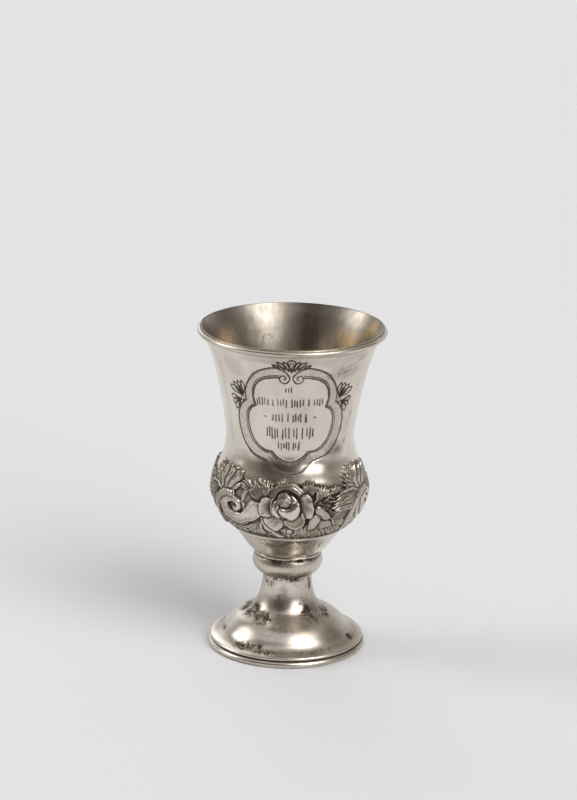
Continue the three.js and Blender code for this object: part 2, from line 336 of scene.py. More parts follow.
class FlowerBoard(LeafBoard):
    """A board on which flowers can be drawn as well."""

    def plate(self, outline, height, dome=1.0, roll=0.0, dark=0.0, rim=0.75):
        """A petal with an outline of its own, domed, or with a rolled edge round a dish."""
        line = curve([*outline, outline[0]])
        cells, x, y = self.near(line, 1)
        distance, _, _ = nearest(line, x, y)
        crossings = np.zeros(x.shape, int)
        for (x0, y0), (x1, y1) in zip(line[:-1], line[1:]):
            between = (y >= min(y0, y1)) & (y < max(y0, y1))
            crossings += between & (x < x0 + (y - y0) / (y1 - y0 or 1) * (x1 - x0))
        depth = np.where(crossings % 2 == 1, distance, -distance)
        inner = np.clip(depth, 0, None)
        lift = height * (0.55 + 0.45 * (1 - np.exp(-inner / dome)))
        lift += roll * bell(inner, 0.55, 0.35)
        shade = dark * smooth(inner, 0.3, 1.2) + 0.25 * np.exp(-inner / 0.5)
        self.lay(cells, -depth, lift, shade, rim)

    def turned(self, x, y, reach, angle):
        """Cells near a point, in coordinates turned by an angle in degrees."""
        cells, gx, gy = self.near([(x, y)], reach + 1)
        a = math.radians(angle)
        dx = (gx - x) * math.cos(a) + (gy - y) * math.sin(a)
        dy = (gy - y) * math.cos(a) - (gx - x) * math.sin(a)
        return cells, dx, dy

    def bead(self, x, y, radius, height, dark=0.0):
        """A round bead."""
        cells, dx, dy = self.turned(x, y, radius, 0)
        r = np.hypot(dx, dy)
        lift = 0.25 + (height - 0.25) * np.sqrt(np.clip(1 - (r / radius) ** 2, 0, 1))
        self.lay(cells, r - radius, lift, np.maximum(dark, 0.3 * smooth(r / radius, 0.75, 1)))

    def petal(self, x, y, length, width, angle, height, dish=0.4, roll=0.3, folds=0.0, square=2.4):
        """A dished petal with a rolled edge on its outer side. The angle points outwards."""
        cells, dx, dy = self.turned(x, y, max(length, width), angle)
        r = (np.abs(dx / length) ** square + np.abs(dy / width) ** square) ** (1 / square)
        outer = smooth(dx / length, -0.5, 0.5)
        lift = height * (0.7 + 0.3 * outer) - dish * bell(r, 0, 0.6)
        lift += roll * bell(r, 0.82, 0.13) * outer
        lift -= 0.5 * height * smooth(r, 0.86, 1.02)
        lift += folds * np.cos(dy / width * 11) * smooth(r, 1.0, 0.3)
        # The inner half of the petal and its dish are painted darker: painted shade.
        shade = 0.14 * bell(r, 0, 0.5) + 0.4 * smooth(dx / length, -0.2, -0.9)
        self.lay(cells, (r - 1) * min(length, width), lift, shade)


FRIEZE_LOW, FRIEZE_HIGH = 48.2, 79.5
frieze = FlowerBoard(FRIEZE_LOW, FRIEZE_HIGH)
print(f"a repeat is {frieze.width:.1f} mm long, {frieze.x.shape[1]} x {frieze.x.shape[0]} cells")

# %% [markdown]
# ## The frieze
#
# The ornament is the usual one of its time, flowers and scrolls: an open rose, a C-scroll with
# an acanthus tail, leaves that spring from the node behind it, a bud and a ribbed band. The
# order of drawing is the order of depth, as with cut paper: what lies behind comes first.

# %% Leaves behind the scroll


def leaves_at_the_node(board):
    """Two leaves that part above the node of the C-scroll, and a small one with four fingers."""
    back = [(25, 72.4), (24.8, 75.4), (27.4, 77.5), (31.4, 78.1), (36, 78.2)]
    board.fan((40.6, 69.2), back, 13, 1.0, bend=0.05, lean=0.08, dark=0.12, tip=0.35)
    board.stroke([(26.4, 76.4), (28.4, 77.9), (30.4, 77.2)], 0.5, 1.15, dark=0.3)
    board.stroke([(31.4, 77.2), (33.6, 78), (35.4, 77)], 0.5, 1.15, dark=0.3)
    outer = [(-38.6, 71.4), (-37.8, 75), (-34.2, 77.2)]
    board.fan((-31.4, 69.4), outer, 6, 1.05, lean=-0.12, veins=1, dark=0.15)
    folds = [
        ((-31.4, 69.6), (-32.8, 73.8), (-29.4, 77.3)), ((-29.4, 69.6), (-29, 73.4), (-25.4, 77.5)),
        ((-27.6, 69.6), (-25.8, 72.6), (-21.9, 76.9)),
    ]
    for root, bend, tip in folds:
        board.stroke([root, bend, tip], 2.05, 1.3, root=0.55, tip=0.4, veins=3)
        crease = [(bend[0] - 0.2, bend[1] + 0.6), (tip[0] - 1.5, tip[1] - 0.5), tip]
        board.stroke(crease, 0.5, 1.65, root=0.5)
    board.stroke([(-27, 69.6), (-24, 70.8), (-20.9, 73.2)], 1.1, 0.95, veins=1)
    board.stroke([(-19.8, 66.6), (-19, 69.6), (-17, 72.2)], 1.0, 0.85, veins=2)
    board.fan((-16.2, 72.4), [(-20.9, 71.7), (-21.5, 73.4), (-20.9, 75.2)], 4, 1.0, narrow=0.7, full=0.5)


def sprigs(board):
    """Feathery leaves between the scroll and the rose, and small tips over it."""
    board.fan((-9.6, 67.6), [(-17, 71.4), (-16.2, 73.8), (-13.6, 75.2), (-11, 75.3)], 9, 0.85, dark=0.2)
    board.fan((-7.8, 68.4), [(-10.8, 74.4), (-8.8, 75), (-6.2, 74)], 6, 0.95, dark=0.1)
    board.fan((-2.2, 73), [(-4.2, 75), (-2.3, 76.1), (-0.4, 75.6)], 4, 0.75)


leaves_at_the_node(frieze)
sprigs(frieze)
print("the first leaves stand", round(float(frieze.height.max()), 2), "mm proud")

# %% [markdown]
# ## Leaves on the right and below
#
# On the right of the rose a lobed leaf curls over a few berries, and a long acanthus leaf
# springs from the ribbed band. Sprays of narrow leaves fill the lower border, where the punch
# also left small dark pits.

# %% Leaves beside and under the rose
BORDER_PITS = 44


def leaf_over_the_rose(board):
    """The lobed leaf to the right, over the rose, with a curled edge and berries at its foot."""
    board.fan((14, 67.4), [(24.6, 71.2), (22.6, 72.7), (19.4, 73)], 6, 0.8, dark=0.1)
    board.fan((9.6, 66.6), [(19, 70.6), (17.6, 72.6), (14.6, 73.7), (11.8, 73)], 8, 1.05)
    curled = [(12.6, 73.6), (10.8, 75.4), (8, 75.8), (5.6, 74.6), (4.8, 72.8)]
    board.fan((8.6, 68), curled, 9, 1.1, dark=0.3)
    for row in range(2):
        for i in range(4):
            x = 14.5 + 1.05 * i + 1.3 * row
            y = 65.3 + 1.15 * i - 0.6 * row
            board.bead(x, y, 0.72, 0.95)
            board.bead(x, y, 0.26, 0.5, dark=0.9)


def acanthus(board):
    """The long leaf that springs from the ribbed band, towards the rose."""
    edge = [(24.8, 61.2), (20.8, 61.9), (18.4, 63.6), (17.9, 66), (19.4, 68.4), (22.2, 70)]
    board.fan((34.4, 68), edge, 13, 1.15, bend=0.06, lean=-0.05, narrow=0.3, dark=0.06, tip=0.35)
    board.stroke([(32, 66), (26.4, 64.6), (21.4, 65.2)], 0.5, 1.35, root=0.5)
    board.fan((18.4, 60.2), [(26.4, 62), (26.2, 60.6), (24.8, 59.2)], 4, 0.6, dark=0.35)


def lower_leaves(board):
    """Sprays along the lower border, dark pits between their tips, and the crescent leaf."""
    sprays = [
        ((7.6, 58.6), [(21.6, 53.8), (17, 51.8), (12, 51.4), (8.4, 52)], 10, 0.75, 0.08),
        ((17.4, 59), [(28.4, 56), (26.4, 53.2), (22, 51.8)], 8, 0.72, 0.08),
        ((33.2, 62), [(28, 54.4), (31, 52), (35.6, 51.7), (39.4, 53.6)], 9, 0.78, 0.08),
        ((-22, 58.4), [(-31.4, 55.6), (-28.8, 52.8), (-24.4, 51.6), (-20.6, 52)], 9, 0.75, 0.08),
        ((-11.2, 60.4), [(-21.8, 55.2), (-18.8, 52.4), (-14.8, 51.5), (-11, 52.2)], 10, 0.85, 0.0),
        ((-1, 57), [(-9.4, 53), (-5, 51.5), (1, 51.5)], 8, 0.6, 0.1),
        ((5, 57), [(1.2, 52.2), (4.4, 51.5), (8.6, 51.8)], 6, 0.6, 0.1),
    ]
    for root, edge, lobes, height, dark in sprays:
        board.fan(root, edge, lobes, height, dark=dark)
    chance = np.random.default_rng(3)
    for i in range(BORDER_PITS):
        x = board.width * (i / BORDER_PITS - 0.5) + chance.uniform(-0.7, 0.7)
        board.bead(x, 51.7 + 1.9 * chance.random() ** 2, chance.uniform(0.22, 0.55), 0.15, dark=1.0)
    board.stroke([(-9.6, 61), (-7.4, 57.6), (-3.2, 55)], 1.2, 0.2, base=0.05, dark=0.9)
    board.stroke([(-11, 61.2), (-10.4, 57.8), (-7.2, 55), (-2.4, 53.4)], 0.8, 1.15, root=0.8)
    board.stroke([(-8, 53.4), (-5, 52.2), (-1, 51.9)], 0.6, 0.7)


for draw in (leaf_over_the_rose, acanthus, lower_leaves):
    draw(frieze)
print("all leaves stand", round(float(frieze.height.max()), 2), "mm proud")

# %% [markdown]
# ## The scroll
#
# A C-scroll is a gutter: a broad band, hollow along its middle, with a rim on both sides. It
# is one curve with a width at each point, so that it narrows towards its eye. It ends in a
# smooth leaf beside the rose, which is drawn first because the scroll lies over it.

# %% The scroll and its tail


def gutter(board, points, widths, height):
    """A broad band with a raised rim on both sides, as wide as its widths say on the way."""
    line = curve(points, 8)
    cells, x, y = board.near(line, 5)
    distance, along, _ = nearest(line, x, y)
    half = np.interp(along, np.linspace(0, 1, len(widths)), widths)
    across = distance / half
    rim = bell(half - distance, 0.42, 0.34)
    lift = height * (0.62 + 0.2 * np.clip(1 - across**2, 0, 1)) + 0.3 * rim
    lift -= 0.4 * height * smooth(across, 0.9, 1.02)
    lines = bell(half - distance, 1.0, 0.16) * (half > 1.3)
    lines += 0.6 * bell(half - distance, 1.7, 0.16) * (half > 2.1)
    board.lay(cells, distance - half, lift - 0.07 * lines, 0.4 * lines)


def acanthus_tail(board):
    """The smooth leaf in which the scroll ends, beside the rose."""
    board.stroke([(-19.8, 61.6), (-17.6, 64), (-14.4, 66.4), (-12, 66.8)], 1.5, 1.0, veins=2)
    board.stroke([(-20.4, 66.2), (-19.2, 65.4), (-18.6, 64.2)], 0.8, 0.9, veins=1)


def c_scroll(board):
    """The scroll runs from its wide tail beside the rose, under itself, up and to its eye."""
    outer = [
        (-13.6, 60.6), (-18.4, 58), (-25, 56.9), (-30.2, 58.9), (-31.9, 62.9), (-30.8, 66.4),
        (-27.4, 68.6),
    ]
    board.stroke(outer, 1.3, 1.0, root=0.6, tip=0.9, veins=1)
    line = [
        (-13, 64.6), (-16.4, 61.9), (-20.8, 60.2), (-25.4, 59.8), (-28.4, 62.1), (-28.2, 65.2),
        (-25.2, 66.9), (-22.2, 66), (-21.2, 64), (-22.4, 62.9), (-23.4, 63.7),
    ]
    gutter(board, line, (3.2, 3.1, 2.7, 2.4, 2.2, 2.0, 1.6, 1.1, 0.6), 1.35)
    board.bead(-27.4, 68.4, 1.15, 1.45)


acanthus_tail(frieze)
c_scroll(frieze)
print("with the scroll:", round(float(frieze.height.max()), 2), "mm")

# %% [markdown]
# ## Band, bud and ribbon
#
# The ribbed band is a rounded band with a wave along it for the ribs. The bud is three plates
# on a stem, and the ribbon under the rose is five pleats beside two beads.

# %% Band, bud and ribbon


def ribbed_band(board):
    """A band bound like a rope: its back rises at each slanting rib."""
    line = curve([(27.2, 54.4), (28.9, 59.6), (30.9, 64.2), (34.6, 67.4), (39.4, 68.4)], 8)
    cells, x, y = board.near(line, 3)
    distance, along, side = nearest(line, x, y)
    half = 1.6
    ribs = 0.5 + 0.5 * np.cos(along * 2 * math.pi * 22 + side * distance * 1.5)
    lift = 0.55 + (0.45 + 0.25 * ribs) * np.sqrt(np.clip(1 - (distance / half) ** 2, 0, 1))
    board.lay(cells, distance - half, lift, 0.5 * (1 - ribs) ** 2)


def bud(board):
    """A half open bud on the right, under the leaf, and its stem."""
    board.stroke([(15.6, 62), (18.4, 59.8), (21.2, 57)], 0.55, 0.85)
    front = [(12.4, 60.6), (14.6, 60.7), (17.4, 59.6), (19.4, 57.4), (17, 56.2), (13.2, 56.4)]
    board.plate(front, 1.0, dark=0.15)
    above = [(10, 65.4), (12, 66.4), (14.6, 64.8), (17, 62), (17.6, 60.2), (14.6, 60.8), (11.4, 62.2)]
    board.plate(above, 1.2, dark=0.1)
    beside = [(8.3, 56.6), (8, 59.4), (9.2, 62.2), (11.2, 63), (12.9, 61.2), (12.4, 58.4), (10.4, 56.6)]
    board.plate(beside, 1.4, dark=0.05)


def ribbon(board):
    """Beads and pleats of the ribbon under the rose."""
    for i in range(5):
        board.stroke([(2.5 + 0.85 * i, 57.4), (3.1 + 0.95 * i, 53.6)], 0.5, 0.85, root=1, tip=0.9)
    board.bead(-2.2, 55.6, 1.25, 1.05)
    board.bead(-2.5, 55.4, 0.5, 0.8, dark=0.5)
    board.bead(0.4, 55.7, 1.25, 1.0)


for draw in (ribbed_band, bud, ribbon):
    draw(frieze)
print("with the band:", round(float(frieze.height.max()), 2), "mm")

# %% [markdown]
# ## The rose
#
# The rose stands out furthest from the wall. Five outer petals stand round a ball of closed
# ones: a small spiral heart, a pointed petal beside it and a broad petal that wraps the front
# with a wavy edge.

# %% Rose
ROSE = (-0.6, 65.4)


def rose(board):
    """The rose, from its outer petals to the ones that close its heart."""
    x, y = ROSE

    def places(*points):
        """Points given from the middle of the rose."""
        return [(x + px, y + py) for px, py in points]

    board.petal(x - 5.2, y - 5.4, 3.8, 4.2, 225, 1.0, folds=0.06, dish=0.3, roll=0.2)
    board.stroke(places((-6.4, 4.2), (-4.4, 7), (-0.2, 8), (4, 7.2), (6.6, 4.4)), 1.9, 1.2, root=0.8,
                 tip=0.8, dark=0.28, veins=1)
    board.stroke(places((0.8, 8), (4, 7.4), (6.2, 5.2)), 0.5, 1.75, root=0.5)
    board.stroke(places((-5, 3.4), (-3, 6.2), (1, 6.6), (4.2, 5.2)), 0.6, 0.6, base=0.4, dark=0.55)
    board.petal(x - 8.2, y + 0.4, 3.0, 4.2, 180, 1.15, dish=0.4, roll=0.4, square=3)
    board.petal(x + 7.6, y + 0.8, 2.7, 5.0, 8, 1.25, dish=0.35, roll=0.4, square=2.8)
    board.stroke(places((-5.4, 4.4), (-6.2, 1), (-5.2, -2.8)), 0.55, 1.3, root=0.6, base=0.7)
    cupped = places(
        (-1.2, -3.4), (-1.4, -5.6), (-0.4, -7.5), (2, -8.4), (4.6, -8.2), (6.8, -6.8), (7.4, -4.6),
        (6.6, -2.4), (5, -1.2), (3, -2.4), (1, -3.4),
    )
    board.plate(cupped, 1.05, roll=0.55, dark=0.3)
    board.stroke(places((2.4, 6.4), (4.9, 4.2), (5.6, 0.8), (4.8, -2.6)), 0.6, 0.7, base=0.5, dark=0.5)
    board.bead(x - 0.6, y + 0.9, 5.0, 1.6)
    pointed = places((1.2, 5.9), (3, 5.2), (4.2, 3.4), (4.3, 1.4), (2.4, 1.7), (1.3, 3.4))
    board.plate(pointed, 1.85, roll=0.2)
    board.bead(x - 1.1, y + 3.5, 3.1, 1.75, dark=0.42)
    for i in range(5):
        reach = 2.8 - 0.56 * i
        turn = [math.radians(a) for a in (205, 150, 95, 40, -15)]
        arch = places(*((-1.1 + reach * math.cos(t), 3.0 + reach * math.sin(t)) for t in turn))
        board.stroke(arch, 0.24, 1.9 + 0.08 * i, base=1.5, root=0.9, tip=0.9, dark=0.2)
    board.stroke(places((-4.7, 2.6), (-4.8, -0.6), (-3.2, -3)), 1.0, 1.5, base=0.9)
    heart = places(
        (-3.1, -1), (-2.6, 0.5), (-0.6, 0.7), (1.4, 0.8), (2.7, 1.7), (4.3, 3.0), (4.9, 1.2),
        (4.8, -0.8), (3.9, -2.8), (2.2, -4.1), (0.6, -4), (-1, -3), (-2.4, -2.2),
    )
    board.stroke(heart[:6], 0.3, 1.1, base=1.0, root=1, tip=0.8, dark=0.9)
    board.plate(heart, 2.05, dome=1.3, roll=0.12, rim=0.85)


rose(frieze)
print("the rose stands", round(float(frieze.height.max()), 2), "mm proud")

# %% [markdown]
# ## Round the belly
#
# The drawn repeat goes round the belly three times and ends in a plain border above and below.
# The dark of the hollows needs no drawing by hand here. A cell that lies lower than the average
# of its neighbours is a hollow: no cloth reaches it, so it holds patina, and it is also painted
# darker as painted shade. Two sizes of neighbourhood give fine dark lines of patina and painted
# shade, and broad soft painted shade. Low parts of the relief are painted darker as well: partly
# patina, as they were never polished as well as high ones, and partly painted shade.

# %% Lay the frieze on the belly
BORDER_LOW, BORDER_HIGH = 51.2, 78.2
ROLLED_EDGE_Z = 49.9


def lay_frieze():
    """The repeats side by side, faded out at the borders, with patina and painted shade in their hollows.
    """
    y = frieze.y
    covered = smooth(frieze.height, 0.08, 0.3)
    low = smooth(y, BORDER_LOW - 0.8, BORDER_LOW)
    top = 1 - smooth(y, BORDER_HIGH - 0.2, BORDER_HIGH + 0.8)
    ground = 1 - smooth(y, BORDER_HIGH - 5, BORDER_HIGH - 2.5)
    edge = 0.3 * bell(y, ROLLED_EDGE_Z, 0.55)
    hammered = 0.05 * frieze.slip_x / frieze.slip_x.std() * covered
    relief[frieze.rows] = np.tile((frieze.height + hammered) * low * top + edge, REPEATS)
    relief[:] = blurred(relief, 0.8)
    # Fine dark lines in the narrow hollows: patina, with painted shade.
    fine = np.clip((blurred(relief, 3) - relief)[frieze.rows] / 0.17, 0, 1)
    # Broad painted shade over the wider hollows.
    broad = np.clip((blurred(relief, 10) - relief)[frieze.rows] / 0.5, 0, 1)
    drawn = np.tile(frieze.dark * low * top * np.maximum(covered, ground), REPEATS)
    # Low parts of the relief are painted darker: partly patina of less polished metal, partly painted
    # shade.
    unpolished_and_shaded = np.tile(covered * low * top, REPEATS)
    unpolished_and_shaded = 0.26 * unpolished_and_shaded * (1 - smooth(relief[frieze.rows], 0.6, 2.1))
    seam = 0.35 * bell(y - BORDER_LOW + 0.1, 0, 0.3) + 0.25 * smooth(y, 53.5, 51) * low
    total = 0.6 * drawn + 0.45 * fine + 0.26 * broad + unpolished_and_shaded + np.tile(seam, REPEATS)
    tarnish[frieze.rows] = np.clip(total, 0, 1)


lay_frieze()
print("tarnish covers", round(float((tarnish > 0.5).mean() * 100)), "% of the wall")

# %% [markdown]
# ## The cartouche
#
# An engraver cuts with a burin: a narrow furrow with clean sides, no ridge of metal beside it.
# A curve is cut into the board of the whole wall. Its points are degrees round the cup and
# heights, and degrees are turned into millimetres first, so a line is as wide up as across.

# %% Furrows
LINE_WIDTH, LINE_DEPTH = 0.17, 0.13


def cut(points, width=LINE_WIDTH, depth=LINE_DEPTH, steps=6, dark=1.0, taper=0.0):
    """Cuts a furrow along a curve through points: degrees round the cup and heights."""
    line = curve(points, steps)
    scale = math.radians(1) * float(radius_at(WALL_LINE, np.array(line[:, 1].mean())))
    line = line * (scale, 1)
    low, high = line.min(0) - 1, line.max(0) + 1
    x = np.degrees(angles) * scale
    rows = (heights >= low[1]) & (heights <= high[1])
    columns = (x >= low[0]) & (x <= high[0])
    cells = np.ix_(rows, columns)
    gx, gy = np.meshgrid(x[columns], heights[rows])
    distance, along, _ = nearest(line, gx, gy)
    half = width * (1 - taper * along)
    furrow = bell(distance, 0, half)
    relief[cells] -= np.clip(depth * furrow - np.clip(-(relief[cells]), 0, depth), 0, depth)
    tarnish[cells] = np.maximum(tarnish[cells], dark * np.exp(-((distance / (1.15 * half)) ** 4)))


def both_sides(points):
    """A curve and its mirror image on the other side of the front."""
    return [points, [(-a, z) for a, z in points]]


print("a burin line is", LINE_DEPTH, "mm deep")

# %% [markdown]
# ## The frame
#
# The frame has five lobes that meet in cusps, and its upper ends roll up into volutes. It is
# the same left and right, so half of it is drawn and mirrored. A second line follows the inner
# one at a small share of the way to the outer one.

# %% The frame of the cartouche
VOLUTE = [
    (1.6, 118.8), (1.4, 117.05), (4.3, 115.55), (7.5, 116.2), (8.5, 117.5), (7.6, 118.5),
    (5.8, 118.75), (4.1, 118.15), (4.2, 117.3), (5.7, 117.2),
]
OUTER = [
    [(1.6, 118.8), (4.4, 120.5), (8, 121.65), (14, 122), (25, 119.6), (33, 115.2), (37.4, 110.4),
     (37.4, 106.8)],
    [(37.4, 106.8), (43, 104.4), (47.6, 100), (48.2, 94.6), (43.6, 88.8), (35, 85.2), (27, 83.9),
     (19.4, 83)],
    [(19.4, 83), (10, 79.2), (0, 78.2)],
]
INNER = [
    [(8.9, 117.9), (13, 117.8), (21, 116.7), (27.6, 113.6), (30, 109), (28.4, 105.2)],
    [(28.4, 105.2), (34, 103.4), (37.2, 99.4), (36.4, 94.4), (31.6, 89.8), (23, 87.1), (16, 86.7)],
    [(16, 86.7), (11, 84.6), (5, 83.2), (0, 82.9)],
]
MIDDLE_SHARE = 0.17
MIDDLE_TOP = [(8.9, 118.7), (13, 118.6), (21, 117.5), (28.3, 114.4), (31, 109.2), (29.6, 105.4)]


def between(inner, outer, share):
    """A lobe between an inner and an outer lobe."""
    inner, outer = curve(inner, 12), curve(outer, 12)
    pick = np.linspace(0, 1, 9)
    a = np.array([inner[int(round(t * (len(inner) - 1)))] for t in pick])
    b = np.array([outer[int(round(t * (len(outer) - 1)))] for t in pick])
    return [tuple(p) for p in a + (b - a) * share]


def cartouche():
    """The lines of the frame. Its ends roll up into two volutes that meet at the top."""
    for side in both_sides(VOLUTE):
        cut(side, width=0.23)
    for inner, outer in zip(INNER, OUTER):
        middle = between(inner, outer, MIDDLE_SHARE)
        if inner is INNER[0]:
            middle = MIDDLE_TOP
        for lobe, width in ((outer, 0.3), (inner, 0.28), (middle, 0.2)):
            for side in both_sides(lobe):
                cut(side, width=width)


cartouche()
print("the frame is", round(OUTER[0][3][1] - OUTER[2][-1][1], 1), "mm high")

# %% [markdown]
# ## Palmettes
#
# A small palmette sits on top of the frame and one at each side. An engraved leaf is two
# curved cuts that meet at root and tip, with a short broad cut along its middle.

# %% Leaves on the frame
LEAF_FATNESS = 0.17


def leaf(root, tip, lean):
    """A pointed leaf: two curves from its root to its tip, and a broad cut along its middle."""
    root, tip = np.array(root, float), np.array(tip, float)
    way = tip - root
    across = np.array([-way[1] * 2, way[0] * 0.5]) * LEAF_FATNESS
    middle = root + 0.65 * way + (lean, 0)
    for side in (-1, 1):
        cut([root, middle + side * across, tip], width=0.25)
    cut([root, root + 0.35 * way, root + 0.7 * way], width=0.3, taper=0.7)


TOP_LEAVES = [((2, 120.9), (5.6, 124.9), -0.8), ((4.4, 121.4), (9.8, 124.6), -0.8),
              ((7.8, 121.8), (13, 123.3), -0.4)]
SIDE_LEAVES = [(39.8, 114.4), (44, 114), (48.8, 113), (53.4, 111.2)]
LOWER_LEAVES = [(54, 106.8), (52.6, 104.2), (49.6, 101.8)]


def palmettes():
    """One palmette stands in the fork of the volutes, and one on either side of the frame."""
    top = [(0, 120.3), (1.9, 122.4), (2.9, 124.1), (1.9, 125.3), (0, 125.7)]
    for side in both_sides(top):
        cut(side, width=0.24)
    cut([(0, 121), (0, 123.2)], width=0.24, taper=0.5)
    for turn in (-1, 1):
        cut([(turn * 0.5, 121.6), (turn * 1.2, 123.4), (turn * 0.5, 124.4)], width=0.16)
        for root, tip, lean in TOP_LEAVES:
            leaf((turn * root[0], root[1]), (turn * tip[0], tip[1]), turn * lean)
        for a, z in SIDE_LEAVES:
            leaf((turn * 40.2, 108.4), (turn * a, z), -turn * 0.5)
        for a, z in LOWER_LEAVES:
            leaf((turn * 42.8, 106.4), (turn * a, z), turn * 0.8)
        steps = np.linspace(0, 2 * math.pi, 9)
        ring = [(turn * (40.9 + 1.5 * math.cos(a)), 107.2 + 0.95 * math.sin(a)) for a in steps]
        cut(ring, steps=3)


palmettes()
print("deepest furrow:", round(float(-relief.min()), 2), "mm")

# %% [markdown]
# ## Rows of strokes
#
# Inside the frame such a cup carries a dedication. This one stays free of words: rows of short
# upright cuts stand in groups in its place. Each is a little longer, bolder or more slanted
# than the next, as cuts made by hand are. A row is its lowest and highest z, and the degrees
# at which it starts and ends.

# %% Rows of strokes
STROKE_ROWS = [
    (111.6, 114.0, -4, 2), (105.7, 108.9, -27, 26), (99.2, 102.9, -14.5, 14.5),
    (92.3, 96.8, -20, 21.5), (87.7, 90.9, -10, 11),
]


def stroke_rows():
    """Upright cuts in groups, some shorter, some bolder, that spell nothing."""
    chance = np.random.default_rng(7)
    for low, high, left, right in STROKE_ROWS:
        tall = high - low
        a = left
        count = 0
        while a < right:
            lean = 0.6 * (chance.random() - 0.5)
            top = high - 0.25 * tall * chance.random() ** 2
            foot = low + 0.3 * tall * chance.random() ** 2
            bold = chance.uniform(0.17, 0.27)
            cut([(a, foot), (a + lean, top)], width=bold, steps=2, depth=0.11, taper=0.3)
            count += 1
            gap = 1.8 if chance.random() < 0.25 or count % 5 == 0 else 1.0
            a += (1.75 + 0.14 * tall) * gap * (0.9 + 0.25 * chance.random())
    for a in (-22, 19):
        cut([(a, 101.2), (a + 2, 101)], steps=2)


stroke_rows()
print("cuts stand in", len(STROKE_ROWS), "rows")

# %% [markdown]
# ## Lip lines and scratches
#
# The turner left two fine lines round the wall below the lip wire. Years of use left
# scratches, which are cut like the engraving, only shallower and less dark.

# %% Lines below the lip and stray scratches
LIP_LINES = (126.8, 127.7)


def lines_and_scratches():
    """Two fine turned lines follow the lip, and a few scratches cross the wall."""
    for z in LIP_LINES:
        line = bell(heights, z, 0.14)[:, None]
        relief[:] -= 0.05 * line
        tarnish[:] = np.maximum(tarnish, 0.55 * line)
    scratches = [
        [(32, 119.3), (37, 118.2), (40.5, 118.3), (42.5, 119.4)],
        [(40, 118), (43, 119), (45, 120.9)],
        [(38, 120.6), (48, 121.8), (60, 123.6)],
        [(56, 88), (60, 99), (61, 112)],
        [(150, 96), (164, 108)],
        [(-150, 112), (-138, 119), (-122, 122)],
        [(100, 90), (118, 93), (131, 99)],
    ]
    for scratch in scratches:
        cut(scratch, width=0.11, depth=0.03, dark=0.38)


lines_and_scratches()
print("lip lines at", LIP_LINES, "mm")

# %% [markdown]
# ## Matted ground
#
# Between the outer line of the frame and the inner ones the ground is matted with a fine
# punch. The dots are too small to draw one by one, so the board only marks where they are and
# the finish makes them. A cell is inside an outline if a line from it to the side crosses the
# outline an odd number of times.

# %% Matted ground between the lines


def within(lobes):
    """True for the cells inside a closed outline of lobes and their mirror images."""
    right = np.concatenate([[(0, lobes[0][0][1])], *(curve(lobe, 10) for lobe in lobes)])
    degrees = np.abs(np.degrees(angles))
    crossings = np.zeros((ROWS, COLS), int)
    for (a0, z0), (a1, z1) in zip(right[:-1], right[1:]):
        rows = (heights >= min(z0, z1)) & (heights < max(z0, z1))
        edge = a0 + (heights[rows] - z0) / (z1 - z0 or 1) * (a1 - a0)
        crossings[rows] += degrees[None, :] < edge[:, None]
    return crossings % 2 == 1


ground = within(OUTER) & ~within(INNER)
matting[:] = blurred(ground.astype(float), 1)
print("matted ground:", round(float(ground.mean() * 100), 1), "% of the wall")

# %% [markdown]
# ## Age
#
# A raised cup is never a true solid of revolution. The hammer leaves broad, shallow waves, and
# years of use add soft dents. They hardly change the outline, but they bend every reflection,
# and that is how the eye knows old silver from a new casting. In front, the shoulder of the
# belly is also a little fuller than at the sides. A noise texture could bend the surface too,
# but slow sines close round the cup without a seam.

# %% Waves and dents
WAVE_HEIGHT = 0.09
SHOULDER_Z = 78.8
FULLER_BY = 0.45


def waves(amount, seed):
    """Gentle waves over the whole wall, from a few slow sines with chance phases."""
    chance = np.random.default_rng(seed)
    up = (heights - SEAT_Z) / (LIP_Z - SEAT_Z)
    field = np.zeros((ROWS, COLS))
    for _ in range(26):
        round_count = int(chance.integers(-14, 15))
        up_count = chance.uniform(1, 9)
        phase = chance.uniform(0, 2 * math.pi)
        strength = 1 / (2 + abs(round_count) + up_count)
        rise = (up * up_count * 2 * math.pi)[:, None]
        field += strength * np.sin(angles * round_count + rise + phase)
    return amount * field / np.abs(field).max()


calm = smooth(heights, SEAT_Z, SEAT_Z + 4) * (1 - smooth(heights, LIP_Z - 4, LIP_Z))
relief += waves(WAVE_HEIGHT, 3) * calm[:, None]
fuller = bell(heights, SHOULDER_Z, 2.7)[:, None]
relief += FULLER_BY * (fuller * np.sqrt(np.clip(np.cos(angles), 0, 1)))
print("relief runs from", round(float(relief.min()), 2), "to", round(float(relief.max()), 2), "mm")

# %% [markdown]
# ## Tarnish and pits
#
# Tarnish settles in patches, and where it has eaten into the metal the surface is pitted.
# Both are drawn as soft patches: an angle in degrees, a height, how wide and how high the
# patch is, and how strong. Painting by hand is the usual way. A list is easier to correct.

# %% Patches of tarnish and pits


def patches(angle, z, places, spread=1.0):
    """The strongest of some soft patches at each point. Angles are in degrees."""
    field = np.zeros(np.broadcast(angle, z).shape)
    for a, height, wide, high, strength in places:
        aside = (angle - a + 180) % 360 - 180
        away = (aside / wide) ** 2 + ((z - height) / high) ** 2
        field = np.maximum(field, strength * np.exp(-((away / spread**2) ** 2)))
    return field


